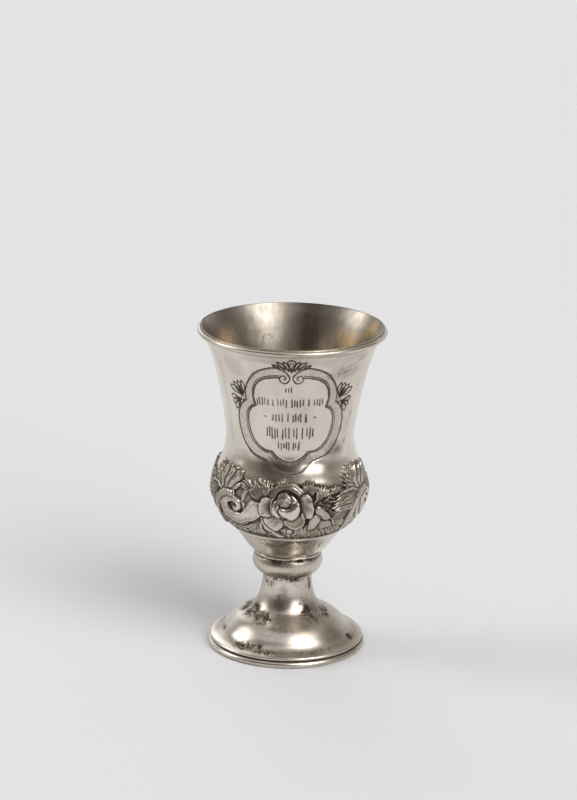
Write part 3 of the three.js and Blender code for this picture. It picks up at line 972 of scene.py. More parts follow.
WALL_TARNISH = [
    (44, 86, 13, 4.5, 0.34), (54, 97, 9, 13, 0.22), (42, 119, 16, 4, 0.24), (-46, 83, 12, 3, 0.2),
    (-4, 125, 40, 2, 0.24), (34, 124.5, 30, 3, 0.22), (-62, 104, 5, 22, 0.2), (-44, 120, 14, 5, 0.18),
    (0, 101, 30, 16, 0.13), (150, 90, 30, 12, 0.26), (-140, 118, 30, 7, 0.24), (-95, 100, 20, 16, 0.2),
    (100, 121, 30, 5, 0.24), (6, 46.5, 46, 3, 0.36), (130, 46, 50, 3.5, 0.36), (-120, 45, 50, 3.5, 0.33),
]
WALL_PITS = [
    (-20, 46.4, 15, 1.3, 0.6), (38, 45.6, 12, 1.4, 0.75), (8, 48.4, 16, 0.9, 0.75), (60, 46, 8, 1.6, 0.5),
    (10, 44, 34, 0.8, 0.7), (-50, 48, 14, 1.2, 0.3), (44, 85, 9, 2.5, 0.4), (140, 47, 40, 2.5, 0.7),
    (-130, 46, 35, 2.5, 0.7),
    (170, 100, 10, 5, 0.4), (38, 119.5, 8, 1.5, 0.35), (-34, 52.2, 20, 0.9, 0.6),
    (12, 51.8, 16, 0.7, 0.6), (44, 52.6, 18, 1.0, 0.65), (130, 52.2, 60, 0.8, 0.6),
    (-130, 52.2, 60, 0.8, 0.6),
]
turn_degrees = np.degrees(angles)[None, :]
pitting = patches(turn_degrees, heights[:, None], WALL_PITS, 1.3)
tarnish += patches(turn_degrees, heights[:, None], WALL_TARNISH) * (1 - tarnish)
print("tarnish and pits in", len(WALL_TARNISH) + len(WALL_PITS), "patches on the wall")

# %% [markdown]
# ## From the board to a mesh
#
# Each cell of the board becomes a point in space: the plain wall's point, moved out along its
# normal by the relief. The normals of this fine grid are kept, because they carry the smallest
# detail even where the mesh is coarser.

# %% Points and normals of the wall


def wall_points():
    """The place of every cell of the board, in millimetres."""
    radius = radius_at(WALL_LINE, heights)
    slope = np.gradient(radius, heights)
    tilt = np.hypot(1, slope)
    r = radius[:, None] + relief / tilt[:, None]
    z = heights[:, None] - relief * (slope / tilt)[:, None]
    return np.stack([r * np.sin(angles), -r * np.cos(angles), z + 0 * r], -1)


def wall_normals(points):
    """Unit normals from the neighbours on both sides."""
    round_way = np.roll(points, -1, axis=1) - np.roll(points, 1, axis=1)
    up_way = np.gradient(points, axis=0)
    normals = np.cross(round_way, up_way)
    return normals / np.linalg.norm(normals, axis=-1, keepdims=True)


wall = wall_points()
normals = wall_normals(wall)
print("wall points:", wall.shape)

# %% [markdown]
# ## Triangles where they are needed
#
# The board has more than a million cells, far more than a mesh should have. Most of them lie
# on smooth metal. A right triangle can be split from its right angle to the middle of its long
# side, again and again; it is only split while the wall leaves the flat triangle by more than a
# set error. Going from the smallest triangles up, each keeps the largest error of its halves,
# so neighbours always agree on where they meet and the mesh has no cracks. A Decimate modifier
# would also thin the grid, but it doesn't know where the tarnish and painted shade have an edge.

# %% Right triangles


def first_triangles():
    """Two right triangles for each tile: the ends of the long side, then the right angle."""
    found = []
    for i in range(TILES_ROUND):
        for j in range(TILES_HIGH):
            x0, y0 = i * TILE, j * TILE
            x1, y1 = x0 + TILE, y0 + TILE
            found.append([(x0, y0), (x1, y1), (x0, y1)])
            found.append([(x1, y1), (x0, y0), (x1, y0)])
    return np.array(found)


def halves(triangles):
    """Both halves of each triangle, with the new right angle on its long side."""
    a, b, c = triangles[:, 0], triangles[:, 1], triangles[:, 2]
    middle = (a + b) // 2
    return np.concatenate([np.stack([c, a, middle], 1), np.stack([b, c, middle], 1)])


def cell(points):
    """The number of a grid point, the same on both sides of the seam."""
    return points[..., 1] * COLS + points[..., 0] % COLS


print("starting from", len(first_triangles()), "triangles")

# %% [markdown]
# ## Where to split
#
# Splitting a triangle moves the middle of its long side onto the wall. How far it moves is the
# error of leaving the triangle whole. The errors are worked out once for every point of the
# grid, and then any fineness can be cut from them.

# %% Errors, and the cut through them


def split_errors(points, detail):
    """For each grid point, the error that is left if the triangles round it aren't split."""
    levels = [first_triangles()]
    while len(levels) < 2 * int(math.log2(TILE)):
        levels.append(halves(levels[-1]))
    flat = points.reshape(-1, 3)
    flat_detail = detail.reshape(-1, detail.shape[-1])
    errors = np.zeros(ROWS * COLS)
    for depth in range(len(levels) - 1, -1, -1):
        a, b, c = (levels[depth][:, k] for k in range(3))
        middle = cell((a + b) // 2)
        ca, cb = cell(a), cell(b)
        error = np.linalg.norm(flat[middle] - (flat[ca] + flat[cb]) / 2, axis=1)
        change = flat_detail[middle] - (flat_detail[ca] + flat_detail[cb]) / 2
        error += np.linalg.norm(change, axis=1)
        if depth < len(levels) - 1:
            error = np.maximum(error, errors[cell((c + a) // 2)])
            error = np.maximum(error, errors[cell((b + c) // 2)])
        np.maximum.at(errors, middle, error)
    return errors


def split_until(errors, limit):
    """The triangles that are left when none has an error over the limit."""
    triangles = first_triangles()
    done = []
    for _ in range(2 * int(math.log2(TILE))):
        big = errors[cell((triangles[:, 0] + triangles[:, 1]) // 2)] > limit
        done.append(triangles[~big])
        triangles = halves(triangles[big])
    return np.concatenate([*done, triangles])


print("a grid point belongs to one of", 2 * int(math.log2(TILE)), "levels")

# %% [markdown]
# ## How fine
#
# The error that is allowed is found by halving a range again and again, until about as many
# triangles are left as the outer skin may have. The drawn tarnish and painted shade, the
# matting and the pits count as a small part of the error, so that the edges of stains and of
# painted shade get points too.

# %% The skin of the wall
MOST_TRIANGLES = 186_000
drawn = (0.05 * tarnish[..., None], 0.015 * matting[..., None], 0.03 * pitting[..., None])
detail = np.concatenate([0.03 * normals, *drawn], -1)
errors = split_errors(wall, detail)
low, high = 0.0, 1.0
for _ in range(12):
    limit = (low + high) / 2
    if len(split_until(errors, limit)) > MOST_TRIANGLES:
        low = limit
    else:
        high = limit
skin = split_until(errors, high)
print(f"{len(skin)} triangles follow the wall to within {high:.3f} mm")

# %% [markdown]
# ## Making a mesh
#
# A mesh is a list of points and a list of triangles. The drawn tarnish and painted shade and
# the other fields go along as attributes: numbers that belong to the points, which a finish can
# read. Rings of points are joined by bands of triangles, and that is how the rest of the cup is
# made.

# %% Meshes from arrays


def new_object(name, points, triangles, smooth_angle=None, vertex_normals=None, **fields):
    """A mesh object in metres, with one number per vertex for each named field."""
    mesh = bpy.data.meshes.new(name)
    mesh.from_pydata((points * MM).tolist(), [], [tuple(t) for t in triangles.tolist()])
    mesh.update()
    mesh.shade_smooth()
    if smooth_angle is not None:
        mesh.set_sharp_from_angle(angle=math.radians(smooth_angle))
    if vertex_normals is not None:
        mesh.normals_split_custom_set_from_vertices(vertex_normals.tolist())
    for field, values in fields.items():
        attribute = mesh.attributes.new(field, "FLOAT", "POINT")
        attribute.data.foreach_set("value", values.astype(np.float32))
    made = bpy.data.objects.new(name, mesh)
    bpy.context.scene.collection.objects.link(made)
    print(f"{name}: {len(mesh.vertices)} points, {len(triangles)} triangles")
    return made


def ring_band(lower, upper):
    """Triangles between two rings with the same number of points, seen from outside."""
    nl, nu = np.roll(lower, -1), np.roll(upper, -1)
    return np.concatenate([np.stack([lower, nl, nu], 1), np.stack([lower, nu, upper], 1)])


band = ring_band(np.arange(4), np.arange(4, 8))
print("a band between two rings of 4 points has", len(band), "triangles")

# %% [markdown]
# ## Inside the bowl
#
# The inside is tarnished brown at the back, pitted here and there, and still gilt in places
# at the sides. These are patches like those outside, on the inner skin.

# %% Patches inside
INSIDE_TARNISH = [
    (168, 122, 9, 22, 0.75), (-146, 118, 14, 16, 0.5), (178, 106, 24, 6, 0.7),
    (140, 112, 12, 12, 0.45), (-170, 128, 30, 2.5, 0.35), (-104, 118, 18, 12, 0.25),
    (110, 116, 14, 12, 0.4), (0, 100, 90, 20, 0.3), (160, 80, 60, 20, 0.6),
]
INSIDE_GILDING = [
    (-120, 119, 11, 6, 1.0), (-132, 112, 12, 4, 0.8), (111, 124, 9, 6, 1.0), (128, 114, 12, 5, 0.8),
    (160, 85, 80, 16, 0.7), (-30, 100, 80, 20, 0.4),
]
INSIDE_PITS = [
    (-160, 117, 12, 2.6, 0.75), (-168, 120, 5, 2, 0.6), (172, 115.5, 10, 2.4, 0.7),
    (-145, 113, 14, 3, 0.6), (-125, 120, 14, 3, 0.5), (120, 118, 14, 3, 0.4), (150, 70, 80, 16, 0.5),
]
inside_patches = len(INSIDE_TARNISH) + len(INSIDE_GILDING) + len(INSIDE_PITS)
print("patches inside:", inside_patches)

# %% [markdown]
# ## Two skins
#
# The outer skin is closed over the lip by an inner skin, a wall's thickness away. A Solidify
# modifier could make it, but it would double every triangle of the frieze. Plain rings are
# enough inside: there the frieze shows only as soft hollows, under old gilding.

# %% The bowl
WALL_THICKNESS = 0.8
FLOOR_Z = SEAT_Z + 1.0
WALL_END_Z = 42
INSIDE_RINGS = 60
FLOOR_SLOPE = 20.0
HOLLOWS = 0.55


def inside_line():
    """Heights, radii and slopes of the rings inside, from the lip to the flat floor."""
    down = np.linspace(LIP_Z, WALL_END_Z, INSIDE_RINGS)
    z = np.concatenate([down, [FLOOR_Z + 0.4, FLOOR_Z]])
    slope = np.interp(z, heights, np.gradient(radius_at(WALL_LINE, heights), heights))
    r = radius_at(WALL_LINE, z) - WALL_THICKNESS * np.hypot(1, slope)
    r[-2:] = (r[-3] - 1.2, r[-3] - 2.4)
    slope[-2:] = FLOOR_SLOPE
    return z, r, slope


def bowl_fields(numbers, lining):
    """The drawn fields of the skin, then those of the lining, point by point."""
    lining_degrees = np.degrees(np.arctan2(lining[:, 0], -lining[:, 1]))
    drawn = {
        "tarnish": (tarnish, INSIDE_TARNISH), "matting": (matting, []),
        "pitting": (pitting, INSIDE_PITS), "gilding": (0 * matting, INSIDE_GILDING),
    }
    fields = {}
    for name, (board, places) in drawn.items():
        rest = patches(lining_degrees, lining[:, 2], places)
        fields[name] = np.concatenate([board.reshape(-1)[numbers], rest])
    return fields


def bowl():
    """The skin of the wall, rings down the inside, and two flat discs to close it."""
    numbers, skin_triangles = np.unique(cell(skin), return_inverse=True)
    skin_triangles = skin_triangles.reshape(-1, 3)
    outer = wall.reshape(-1, 3)[numbers]
    rim = np.flatnonzero(numbers // COLS == ROWS - 1)
    seat = np.flatnonzero(numbers // COLS == 0)
    rim_columns = numbers[rim] % COLS
    rim_sin, rim_cos = np.sin(angles[rim_columns]), np.cos(angles[rim_columns])
    soft = blurred(relief, 14)
    points, all_normals, triangles = [outer], [normals.reshape(-1, 3)[numbers]], [skin_triangles]
    previous = rim
    count = len(outer)
    for k, (z, r, slope) in enumerate(zip(*inside_line())):
        row = int(np.clip(np.searchsorted(heights, z), 0, ROWS - 1))
        ring_r = r + (HOLLOWS * soft[row, rim_columns] if k else 0)
        points.append(np.stack([ring_r * rim_sin, -ring_r * rim_cos, np.full(len(rim), z)], 1))
        n = np.stack([-rim_sin, rim_cos, np.full(len(rim), slope)], 1)
        all_normals.append(n / np.linalg.norm(n, axis=1, keepdims=True))
        ring = np.arange(count, count + len(rim))
        triangles.append(ring_band(previous, ring))
        previous = ring
        count += len(rim)
    for ring, z, up in ((previous, FLOOR_Z, 1), (seat, SEAT_Z, -1)):
        points.append(np.array([[0.0, 0.0, z]]))
        all_normals.append(np.array([[0.0, 0.0, float(up)]]))
        hub = np.full(len(ring), count)
        pair = (ring, np.roll(ring, -1)) if up > 0 else (np.roll(ring, -1), ring)
        triangles.append(np.stack([pair[0], pair[1], hub], 1))
        count += 1
    points, all_normals = np.concatenate(points), np.concatenate(all_normals)
    fields = bowl_fields(numbers, points[len(outer):])
    made = new_object("silver_bowl", points, np.concatenate(triangles), vertex_normals=all_normals,
                      **fields)
    is_inside = np.zeros(len(made.data.polygons), np.int32)
    is_inside[len(skin_triangles):-len(seat)] = 1
    return made, is_inside


bowl_piece, inside_faces = bowl()
print("of them,", int(inside_faces.sum()), "triangles are the lining")

# %% [markdown]
# ## Turned pieces
#
# The wires, the knop and the foot are turned forms, so each is an outline spun round the axis.
# Tarnish gathers in the seams between them. Its amount is drawn along the outline, and the
# finish breaks it up into spots later. A Screw modifier spins an outline as well, but points
# made here can also wobble a little and carry their stains and pits.

# %% Spin an outline


def spin(name, outline, dark, columns=160, wobble=0.0, seed=1, stains=(), pits=()):
    """Turns a closed outline of (radius, height) points. dark is the tarnish at each point."""
    outline = np.array(outline, float)
    dark = np.array(dark, float)
    turn = np.linspace(-math.pi, math.pi, columns, endpoint=False)
    r, z = outline[:, 0][:, None], outline[:, 1][:, None]
    chance = np.random.default_rng(seed)
    for k in range(2, 9):
        rise, phase = chance.uniform(0.1, 0.5), chance.uniform(0, 6)
        r = r + wobble * chance.uniform(0.3, 1) / (1 + k) * np.sin(k * turn + z * rise + phase)
    points = np.stack([r * np.sin(turn), -r * np.cos(turn), z + 0 * r], -1).reshape(-1, 3)
    rows = np.arange(len(outline))
    grid = rows[:, None] * columns + np.arange(columns)[None, :]
    triangles = np.concatenate([
        ring_band(grid[i], grid[(i + 1) % len(outline)]) for i in range(len(outline))
    ])
    stained = patches(np.degrees(turn)[None, :], z, stains).reshape(-1)
    pitted = patches(np.degrees(turn)[None, :], z, pits, 1.5).reshape(-1)
    dark = np.maximum(np.repeat(dark, columns), stained)
    return new_object(name, points, triangles, smooth_angle=50, tarnish=dark, pitting=pitted)


def arc(x, z, radius, start, end, steps):
    """Points on a circle, with angles in degrees from straight out."""
    turn = np.radians(np.linspace(start, end, steps))
    return [(x + radius * math.cos(t), z + radius * math.sin(t)) for t in turn]


def along(line, low, high, steps, inset=0.0):
    """Points on a smooth outline, moved in by a wall's thickness."""
    z = np.linspace(low, high, steps)
    r = radius_at(line, z)
    slope = (radius_at(line, z + 0.01) - radius_at(line, z - 0.01)) / 0.02
    tilt = np.hypot(1, slope)
    return list(zip(r - inset / tilt, z + inset * slope / tilt))


def width(piece):
    """How wide a turned piece is, in millimetres."""
    return round(2 * max(v.co.x for v in piece.data.vertices) / MM, 1)


print("the foot's outline starts at", tuple(round(float(v), 1) for v in along(FOOT_LINE, 5, 6, 2)[0]))

# %% [markdown]
# ## Lip wire
#
# A round wire is soldered round the outside of the lip. It keeps the thin edge from bending
# and makes it pleasant to drink from. Its section is most of a circle, cut flat at the wall.

# %% Lip wire
LIP_WIRE_RADIUS = 1.0


def lip_wire():
    """A round wire that follows the flare, soldered on: the seam shows as a dark line."""
    middle = LIP_RADIUS - LIP_WIRE_RADIUS
    height = span("lip_wire")[0] + LIP_WIRE_RADIUS
    outline = arc(middle, height, LIP_WIRE_RADIUS, -135, 120, 26)
    dark = np.interp(np.linspace(-135, 120, 26), (-135, -90, -60, 90, 120), (1, 0.8, 0.16, 0.1, 0.4))
    stains = [(20, 129, 26, 3, 0.25), (-60, 129, 20, 3, 0.22), (150, 129, 50, 3, 0.25)]
    return spin("wire_of_the_lip", outline, dark, columns=256, stains=stains)


lip_piece = lip_wire()
print("the lip wire is", 2 * LIP_WIRE_RADIUS, "mm thick")

# %% [markdown]
# ## Knop
#
# The hollow bead between bowl and stem gives the fingers a hold. A fine neck and a small
# fillet lead up to the bowl. Most pits sit in the neck, where damp stays longest.

# %% Knop
FILLET_RADIUS = 13.45


def knop():
    """A round bead with a fine neck and a fillet, dark in the seams above and below."""
    neck = KNOP_LINE[-1][0]
    outside = along(KNOP_LINE, STEM_TOP_Z, neck, 30)
    fillet = [
        (FILLET_RADIUS - 0.3, neck + 0.1), (FILLET_RADIUS, neck + 0.3),
        (FILLET_RADIUS + 0.05, neck + 0.7), (FILLET_RADIUS, SEAT_Z - 0.3),
        (FILLET_RADIUS - 0.3, SEAT_Z - 0.02),
    ]
    inside = [(11.4, SEAT_Z - 0.02), (9.1, STEM_TOP_Z)]
    outline = outside + fillet + inside
    z = np.array(outline)[:, 1]
    seams = (STEM_TOP_Z, 30.4, 31.2, 37.0, 38.0, 38.3, 38.6, 39.1, 39.4)
    dark = np.interp(z, seams, (1, 0.8, 0.2, 0.15, 0.6, 0.5, 0.1, 0.2, 0.7))
    stains = [(-30, 36.5, 30, 1.2, 0.4), (10, 31.5, 40, 0.8, 0.4), (140, 35, 50, 2.5, 0.3)]
    pits = [
        (-14, 37.4, 12, 0.9, 0.9), (18, 38, 20, 0.7, 1.0), (-52, 38, 10, 0.6, 0.5), (8, 31, 26, 0.6, 0.7),
        (50, 37.6, 10, 1, 0.6), (160, 37.2, 40, 1.2, 0.8), (-120, 31, 30, 0.8, 0.7),
    ]
    return spin("hollow_knop", outline, dark, wobble=0.03, seed=5, stains=stains, pits=pits)


knop_piece = knop()
print("the knop is", width(knop_piece), "mm wide")

# %% [markdown]
# ## Foot
#
# Stem, flare and dome are spun in one from a disc of sheet, so the foot is hollow underneath,
# with one thickness of wall. It ends in a rolled edge. Tarnish sits where the flare meets the
# dome, and in spots that polishing hasn't reached.

# %% Foot
FOOT_WALL = 0.9


def foot():
    """Stem, flare and dome in one, over a rolled edge. Tarnish sits in the flare."""
    edge_z, edge_r = FOOT_LINE[0]
    rolled = [
        (edge_r + 0.2, WIRE_TOP_Z), (edge_r + 0.45, WIRE_TOP_Z + 0.35), (edge_r + 0.8, WIRE_TOP_Z + 0.6),
        (edge_r + 0.92, WIRE_TOP_Z + 0.9), (edge_r + 0.85, edge_z - 0.4), (edge_r + 0.5, edge_z - 0.12),
    ]
    outside = along(FOOT_LINE, edge_z, STEM_TOP_Z, 120)
    inside = along(FOOT_LINE, 5.0, STEM_TOP_Z, 40, FOOT_WALL)[::-1] + [(edge_r - 0.6, WIRE_TOP_Z)]
    inside[0] = (inside[0][0], STEM_TOP_Z)
    outline = rolled + outside + inside
    z = np.array([p[1] for p in outline])
    belt = (2.4, 2.8, 3.1, 4, 5, 6.5, 9, 12.5, 15, 18, 21, 27, 29.2, 29.8)
    depth = (0.8, 0.5, 0.1, 0.14, 0.34, 0.26, 0.16, 0.24, 0.38, 0.34, 0.24, 0.16, 0.3, 1)
    dark = np.interp(z, belt, depth)
    stains = [
        (47, 8.7, 16, 3, 0.36), (-31, 13.5, 15, 2.5, 0.3), (-12, 19, 18, 3.2, 0.5),
        (43, 16.4, 14, 3, 0.42), (-66, 15, 16, 2.5, 0.3), (-8, 24, 13, 3.6, 0.36),
        (62, 26, 16, 3, 0.3), (-44, 27.5, 26, 2, 0.3), (20, 28.4, 30, 1, 0.4),
        (-10, 22.8, 16, 0.7, 0.35), (150, 12, 40, 4, 0.4), (-130, 16, 30, 4, 0.35),
        (180, 27, 60, 2, 0.35),
    ]
    pits = [
        (-64, 15.3, 10, 1.8, 1.0), (-96, 14.2, 14, 1.2, 0.9), (-36, 14.2, 12, 1.4, 0.8),
        (38, 16, 11, 2.2, 0.95), (32, 20, 6, 2, 0.7), (70, 14.6, 12, 1.2, 0.8),
        (-15, 19, 8, 3, 0.65), (-31, 6.1, 9, 0.8, 1.0), (-40, 5.5, 8, 0.8, 0.9),
        (-20, 5, 9, 0.5, 0.8), (70, 5.8, 6, 0.7, 0.9), (-78, 7, 6, 0.8, 0.7),
        (-44, 27.1, 14, 1.4, 0.65), (58, 26, 9, 2, 0.85), (19, 26.4, 5, 0.8, 0.6),
        (2, 28.9, 34, 0.6, 0.85), (10, 5, 30, 0.5, 0.5), (150, 13, 26, 2, 0.9),
        (-140, 14, 18, 2, 0.8), (180, 5, 14, 0.8, 0.7), (112, 28.3, 24, 1, 0.8),
        (-150, 28.4, 30, 0.9, 0.8),
    ]
    return spin("domed_foot", outline, dark, columns=200, wobble=0.05, seed=9, stains=stains, pits=pits)


foot_piece = foot()
print("the foot is", width(foot_piece), "mm wide")

# %% [markdown]
# ## Foot wire
#
# The wire under the foot's edge carries the whole cup, and is flat where it stands. Between
# the wire and the rolled edge runs a dark groove.

# %% Foot wire


def foot_wire():
    """The wire under the foot's edge: round outside, flat where the cup stands."""
    inner = FOOT_LINE[0][1] - 0.6
    bulge = WIRE_TOP_Z / 2
    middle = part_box("foot_wire")[1][0] / MM - bulge
    outline = [(inner, 0.0)] + arc(middle, bulge, bulge, -90, 90, 22) + [(inner, WIRE_TOP_Z)]
    dark = np.interp(np.linspace(-90, 90, 22), (-90, -60, 50, 90), (0.8, 0.16, 0.12, 0.6))
    stains = [(-20, 1.2, 30, 1.5, 0.28), (40, 1.6, 20, 1.2, 0.3), (170, 1.2, 50, 1.5, 0.3)]
    return spin("wire_of_the_foot", outline, [0.2, *dark, 0.2], columns=256, stains=stains)


foot_wire_piece = foot_wire()
print("the foot wire is", width(foot_wire_piece), "mm wide")

# %% [markdown]
# ## Writing a finish as a sum
#
# A finish is easier to read as arithmetic than as a web of nodes. The small class below wraps
# a socket, so that `1 - mask` or `noise * 0.3 + 0.2` adds the Math nodes it needs.

# %% A socket that can do sums


class Wire:
    """An output socket of a finish, for use in sums."""

    def __init__(self, finish, socket):
        self.finish = finish
        self.socket = socket

    def sum(self, operation, *terms):
        """A Math node on this value and others."""
        return self.finish.node("ShaderNodeMath", {"operation": operation}, *terms)

    def __add__(self, other):
        return self.sum("ADD", self, other)

    def __radd__(self, other):
        return self.sum("ADD", other, self)

    def __sub__(self, other):
        return self.sum("SUBTRACT", self, other)

    def __rsub__(self, other):
        return self.sum("SUBTRACT", other, self)

    def __mul__(self, other):
        return self.sum("MULTIPLY", self, other)

    def __rmul__(self, other):
        return self.sum("MULTIPLY", other, self)

    def __truediv__(self, other):
        return self.sum("DIVIDE", self, other)

    def __rtruediv__(self, other):
        return self.sum("DIVIDE", other, self)

    def to(self, socket):
        """Leads this value into another node's socket."""
        self.finish.links.new(self.socket, socket)


print("a socket can do", [name for name in vars(Wire) if name.startswith("__r")])

# %% [markdown]
# ## One way to make a node
#
# Every other node comes from one method: its type, then its settings, then the values or links
# of its sockets. Settings come first, because some of them change which sockets there are.

# %% Trees of nodes


class Nodes:
    """A tree of nodes. They are all made one by one, by a single method."""

    def __init__(self, tree):
        self.nodes = tree.nodes
        self.links = tree.links

    def set(self, socket, value):
        """Links a wire to a socket, or writes a plain value into it."""
        if isinstance(value, Wire):
            self.links.new(value.socket, socket)
        elif value is not None:
            socket.default_value = value

    def node(self, kind, settings, *values, output=0, **named):
        """A node of a kind, its settings first, then its sockets in order or by name."""
        made = self.nodes.new(kind)
        for key, setting in settings.items():
            if key == "stops":
                ramp = made.color_ramp.elements
                while len(ramp) < len(setting):
                    ramp.new(0.5)
                for stop, (place, shade) in zip(ramp, setting):
                    stop.position = place
                    stop.color = (shade, shade, shade, 1)
            else:
                setattr(made, key, setting)
        for socket, value in zip(made.inputs, values):
            self.set(socket, value)
        for key, value in named.items():
            self.set(made.inputs[key.replace("_", " ")], value)
        return Wire(self, made.outputs[output])

    def ramp(self, value, *stops):
        """A value led through stops: pairs of a place and the grey that it becomes."""
        return self.node("ShaderNodeValToRGB", {"stops": stops}, value)

    def blend(self, factor, first, second):
        """A colour between two colours."""
        unused = (None,) * 5
        settings = {"data_type": "RGBA"}
        return self.node("ShaderNodeMix", settings, factor, *unused, first, second, output=2)


print("node trees can", [name for name in vars(Nodes) if not name.startswith("__")])

# %% [markdown]
# ## Materials
#
# A finish is a tree of nodes that ends in a shader. Its noises are placed by the piece's own
# coordinates, in metres, so a speck keeps its size on every piece.

# %% Finishes


class Finish(Nodes):
    """A material of one metal or paper."""

    def __init__(self, name):
        self.material = bpy.data.materials.new(name)
        self.material.use_nodes = True
        super().__init__(self.material.node_tree)
        self.shader = self.nodes["Principled BSDF"]

    def field(self, name):
        """A number that was drawn on the piece."""
        return self.node("ShaderNodeAttribute", {"attribute_name": name}, output="Fac")

    def noise(self, scale, detail, stretch=(1, 1, 1), rough=0.55):
        """Soft noise; a small number in stretch draws it out along x, y or z."""
        place = self.node("ShaderNodeTexCoord", {}, output="Object")
        place = self.node("ShaderNodeVectorMath", {"operation": "MULTIPLY"}, place, stretch)
        return self.node("ShaderNodeTexNoise", {}, Vector=place, Scale=scale, Detail=detail,
                         Roughness=rough)

    def bump(self, height, distance):
        """Normals tilted by a height, for relief too fine to be a shape."""
        return self.node("ShaderNodeBump", {}, Strength=0.3, Distance=distance, Height=height)

    def surface(self, **sockets):
        """Sets the shader's sockets and gives the finished material."""
        for key, value in sockets.items():
            self.set(self.shader.inputs[key.replace("_", " ")], value)
        return self.material


print("finishes are made with", [name for name in vars(Finish) if not name.startswith("__")])

# %% [markdown]
# ## Old silver
#
# Clean silver is almost white and very smooth. Air turns it yellow, then brown, then nearly
# black, first in the hollows where no cloth reaches. So one recipe serves every piece: a pale
# warm metal, with tarnish, and on the frieze painted shade, where the drawn field asks for
# them, broken up by noise. The knop and the foot also get fine turned rings, and the matted
# ground of the frame gets its dots.

# %% Silver
CLEAN = (0.80, 0.752, 0.685, 1)
HAZY = (0.57, 0.50, 0.42, 1)
BROWN = (0.27, 0.222, 0.178, 1)
BLACKENED = (0.03, 0.023, 0.018, 1)


def old_silver(name, haze, polish, turned=0.0, matted=False):
    """Silver with hazy patches, fine scratches, the drawn tarnish and painted shade, and the drawn pits.

    haze is how dull the clean metal is, polish its roughness, turned how strong its rings are.
    """
    finish = Finish(name)
    # The drawn field holds tarnish, and on the frieze painted shade as well.
    drawn = finish.field("tarnish")
    pitting = finish.field("pitting")
    cloud = finish.ramp(finish.noise(48, 5, rough=0.6), (0.36, 0), (0.7, 1))
    veil = finish.ramp(finish.noise(130, 4, stretch=(1, 1, 0.35), rough=0.65), (0.4, 0), (0.75, 1))
    grain = finish.noise(900, 3, rough=0.7)
    rub = finish.noise(420, 2, stretch=(1, 1, 0.12))
    clump = finish.ramp(finish.noise(380, 4, rough=0.7), (0.38, 0), (0.6, 1))
    speck = finish.noise(1500, 4, rough=0.75)
    pits = finish.ramp(speck + pitting * (0.1 + clump * 0.2) - 0.15, (0.54, 0), (0.58, 1))
    halo = finish.ramp(pitting * clump, (0.15, 0), (0.9, 0.5))

    dark = drawn + (grain - 0.5) * 0.5 * drawn + (cloud - 0.4) * 0.6 * drawn + halo
    rings = finish.noise(1100, 3, stretch=(0.03, 0.03, 1), rough=0.7)
    base = finish.blend(cloud * haze + veil * 0.5 * haze + (rings - 0.5) * turned, CLEAN, HAZY)
    base = finish.blend(finish.ramp(dark, (0.1, 0), (0.5, 1)), base, BROWN)
    base = finish.blend(finish.ramp(dark, (0.5, 0), (1.0, 1)), base, BLACKENED)
    base = finish.blend(pits, base, BLACKENED)
    dull = finish.ramp(dark, (0.1, 0), (1.0, 1))
    rough = polish + cloud * 0.08 + (rub - 0.5) * 0.1 + dull * 0.28 + pits * 0.4
    height = (grain - 0.5) * 0.12 + (rub - 0.5) * 0.2 - dull * 0.4 - pits * 0.6
    height = height + rings * turned
    normal = finish.bump(height, 0.12 * MM)
    if matted:
        matt = finish.field("matting")
        stipple = finish.node("ShaderNodeTexVoronoi", {}, Scale=2300.0, output="Distance")
        fleck = finish.ramp(finish.noise(1500, 3), (0.46, 0.25), (0.66, 1))
        dots = finish.ramp(stipple, (0.2, 1), (0.6, 0.5))
        base = finish.blend(matt * 0.95 * fleck * dots, base, BROWN)
    metallic = 1.0 - dull * 0.35
    return finish.surface(Base_Color=base, Metallic=metallic, Roughness=rough, Normal=normal)


print("clean silver is", CLEAN[:3], "and its tarnish goes to", BLACKENED[:3])

# %% [markdown]
# ## The lining
#
# The inside was gilded, because wine stains silver. Most of the thin gold has worn away. What
# is left shows through brown tarnish, with brush marks that run up and down and round.

# %% Worn gilding inside
GREY_LINING = (0.47, 0.43, 0.375, 1)
BROWN_LINING = (0.24, 0.20, 0.155, 1)
DARK_LINING = (0.1, 0.08, 0.062, 1)
GILT = (0.72, 0.50, 0.26, 1)


def gilt_inside(name):
    """Tarnished brown and brushed, with what is left of thin gilding."""
    finish = Finish(name)
    drawn = finish.field("tarnish")
    pitting = finish.field("pitting")
    cloud = finish.ramp(finish.noise(60, 5, rough=0.62), (0.35, 0), (0.7, 1))
    brushed = finish.noise(420, 3, stretch=(1, 1, 0.07), rough=0.6)
    across = finish.noise(260, 3, stretch=(0.12, 0.12, 1), rough=0.6)
    gilding = finish.field("gilding")
    gold = finish.ramp(finish.noise(60, 5, rough=0.6) + gilding * 0.3, (0.58, 0), (0.8, 1))
    speck = finish.noise(900, 4, rough=0.72)
    pits = finish.ramp(speck + pitting * 0.2 - 0.12, (0.56, 0), (0.62, 1))
    streaks = (brushed - 0.5) * 0.9 + (across - 0.5) * 0.7
    shade = finish.ramp(cloud * 0.35 + streaks + 0.25, (0.0, 0), (1.0, 1))
    base = finish.blend(shade, GREY_LINING, BROWN_LINING)
    base = finish.blend(gold * 0.9, base, GILT)
    dark = finish.ramp(drawn * (1.0 + streaks), (0.05, 0), (1.0, 1))
    base = finish.blend(dark, base, DARK_LINING)
    base = finish.blend(pits * 0.65, base, BLACKENED)
    rough = 0.3 + cloud * 0.1 + dark * 0.12 + (brushed - 0.5) * 0.12
    normal = finish.bump(brushed * 0.7 + across * 0.5 - pits, 0.1 * MM)
    return finish.surface(Base_Color=base, Metallic=1.0, Roughness=rough, Normal=normal)


silver = old_silver("chased_silver", haze=0.55, polish=0.17, matted=True)
inside = gilt_inside("worn_gilding")
worn = old_silver("pitted_silver", haze=0.75, polish=0.2, turned=1.0)
wire = old_silver("wire_silver", haze=0.8, polish=0.2)
print("finishes:", [m.name for m in (silver, inside, worn, wire)])
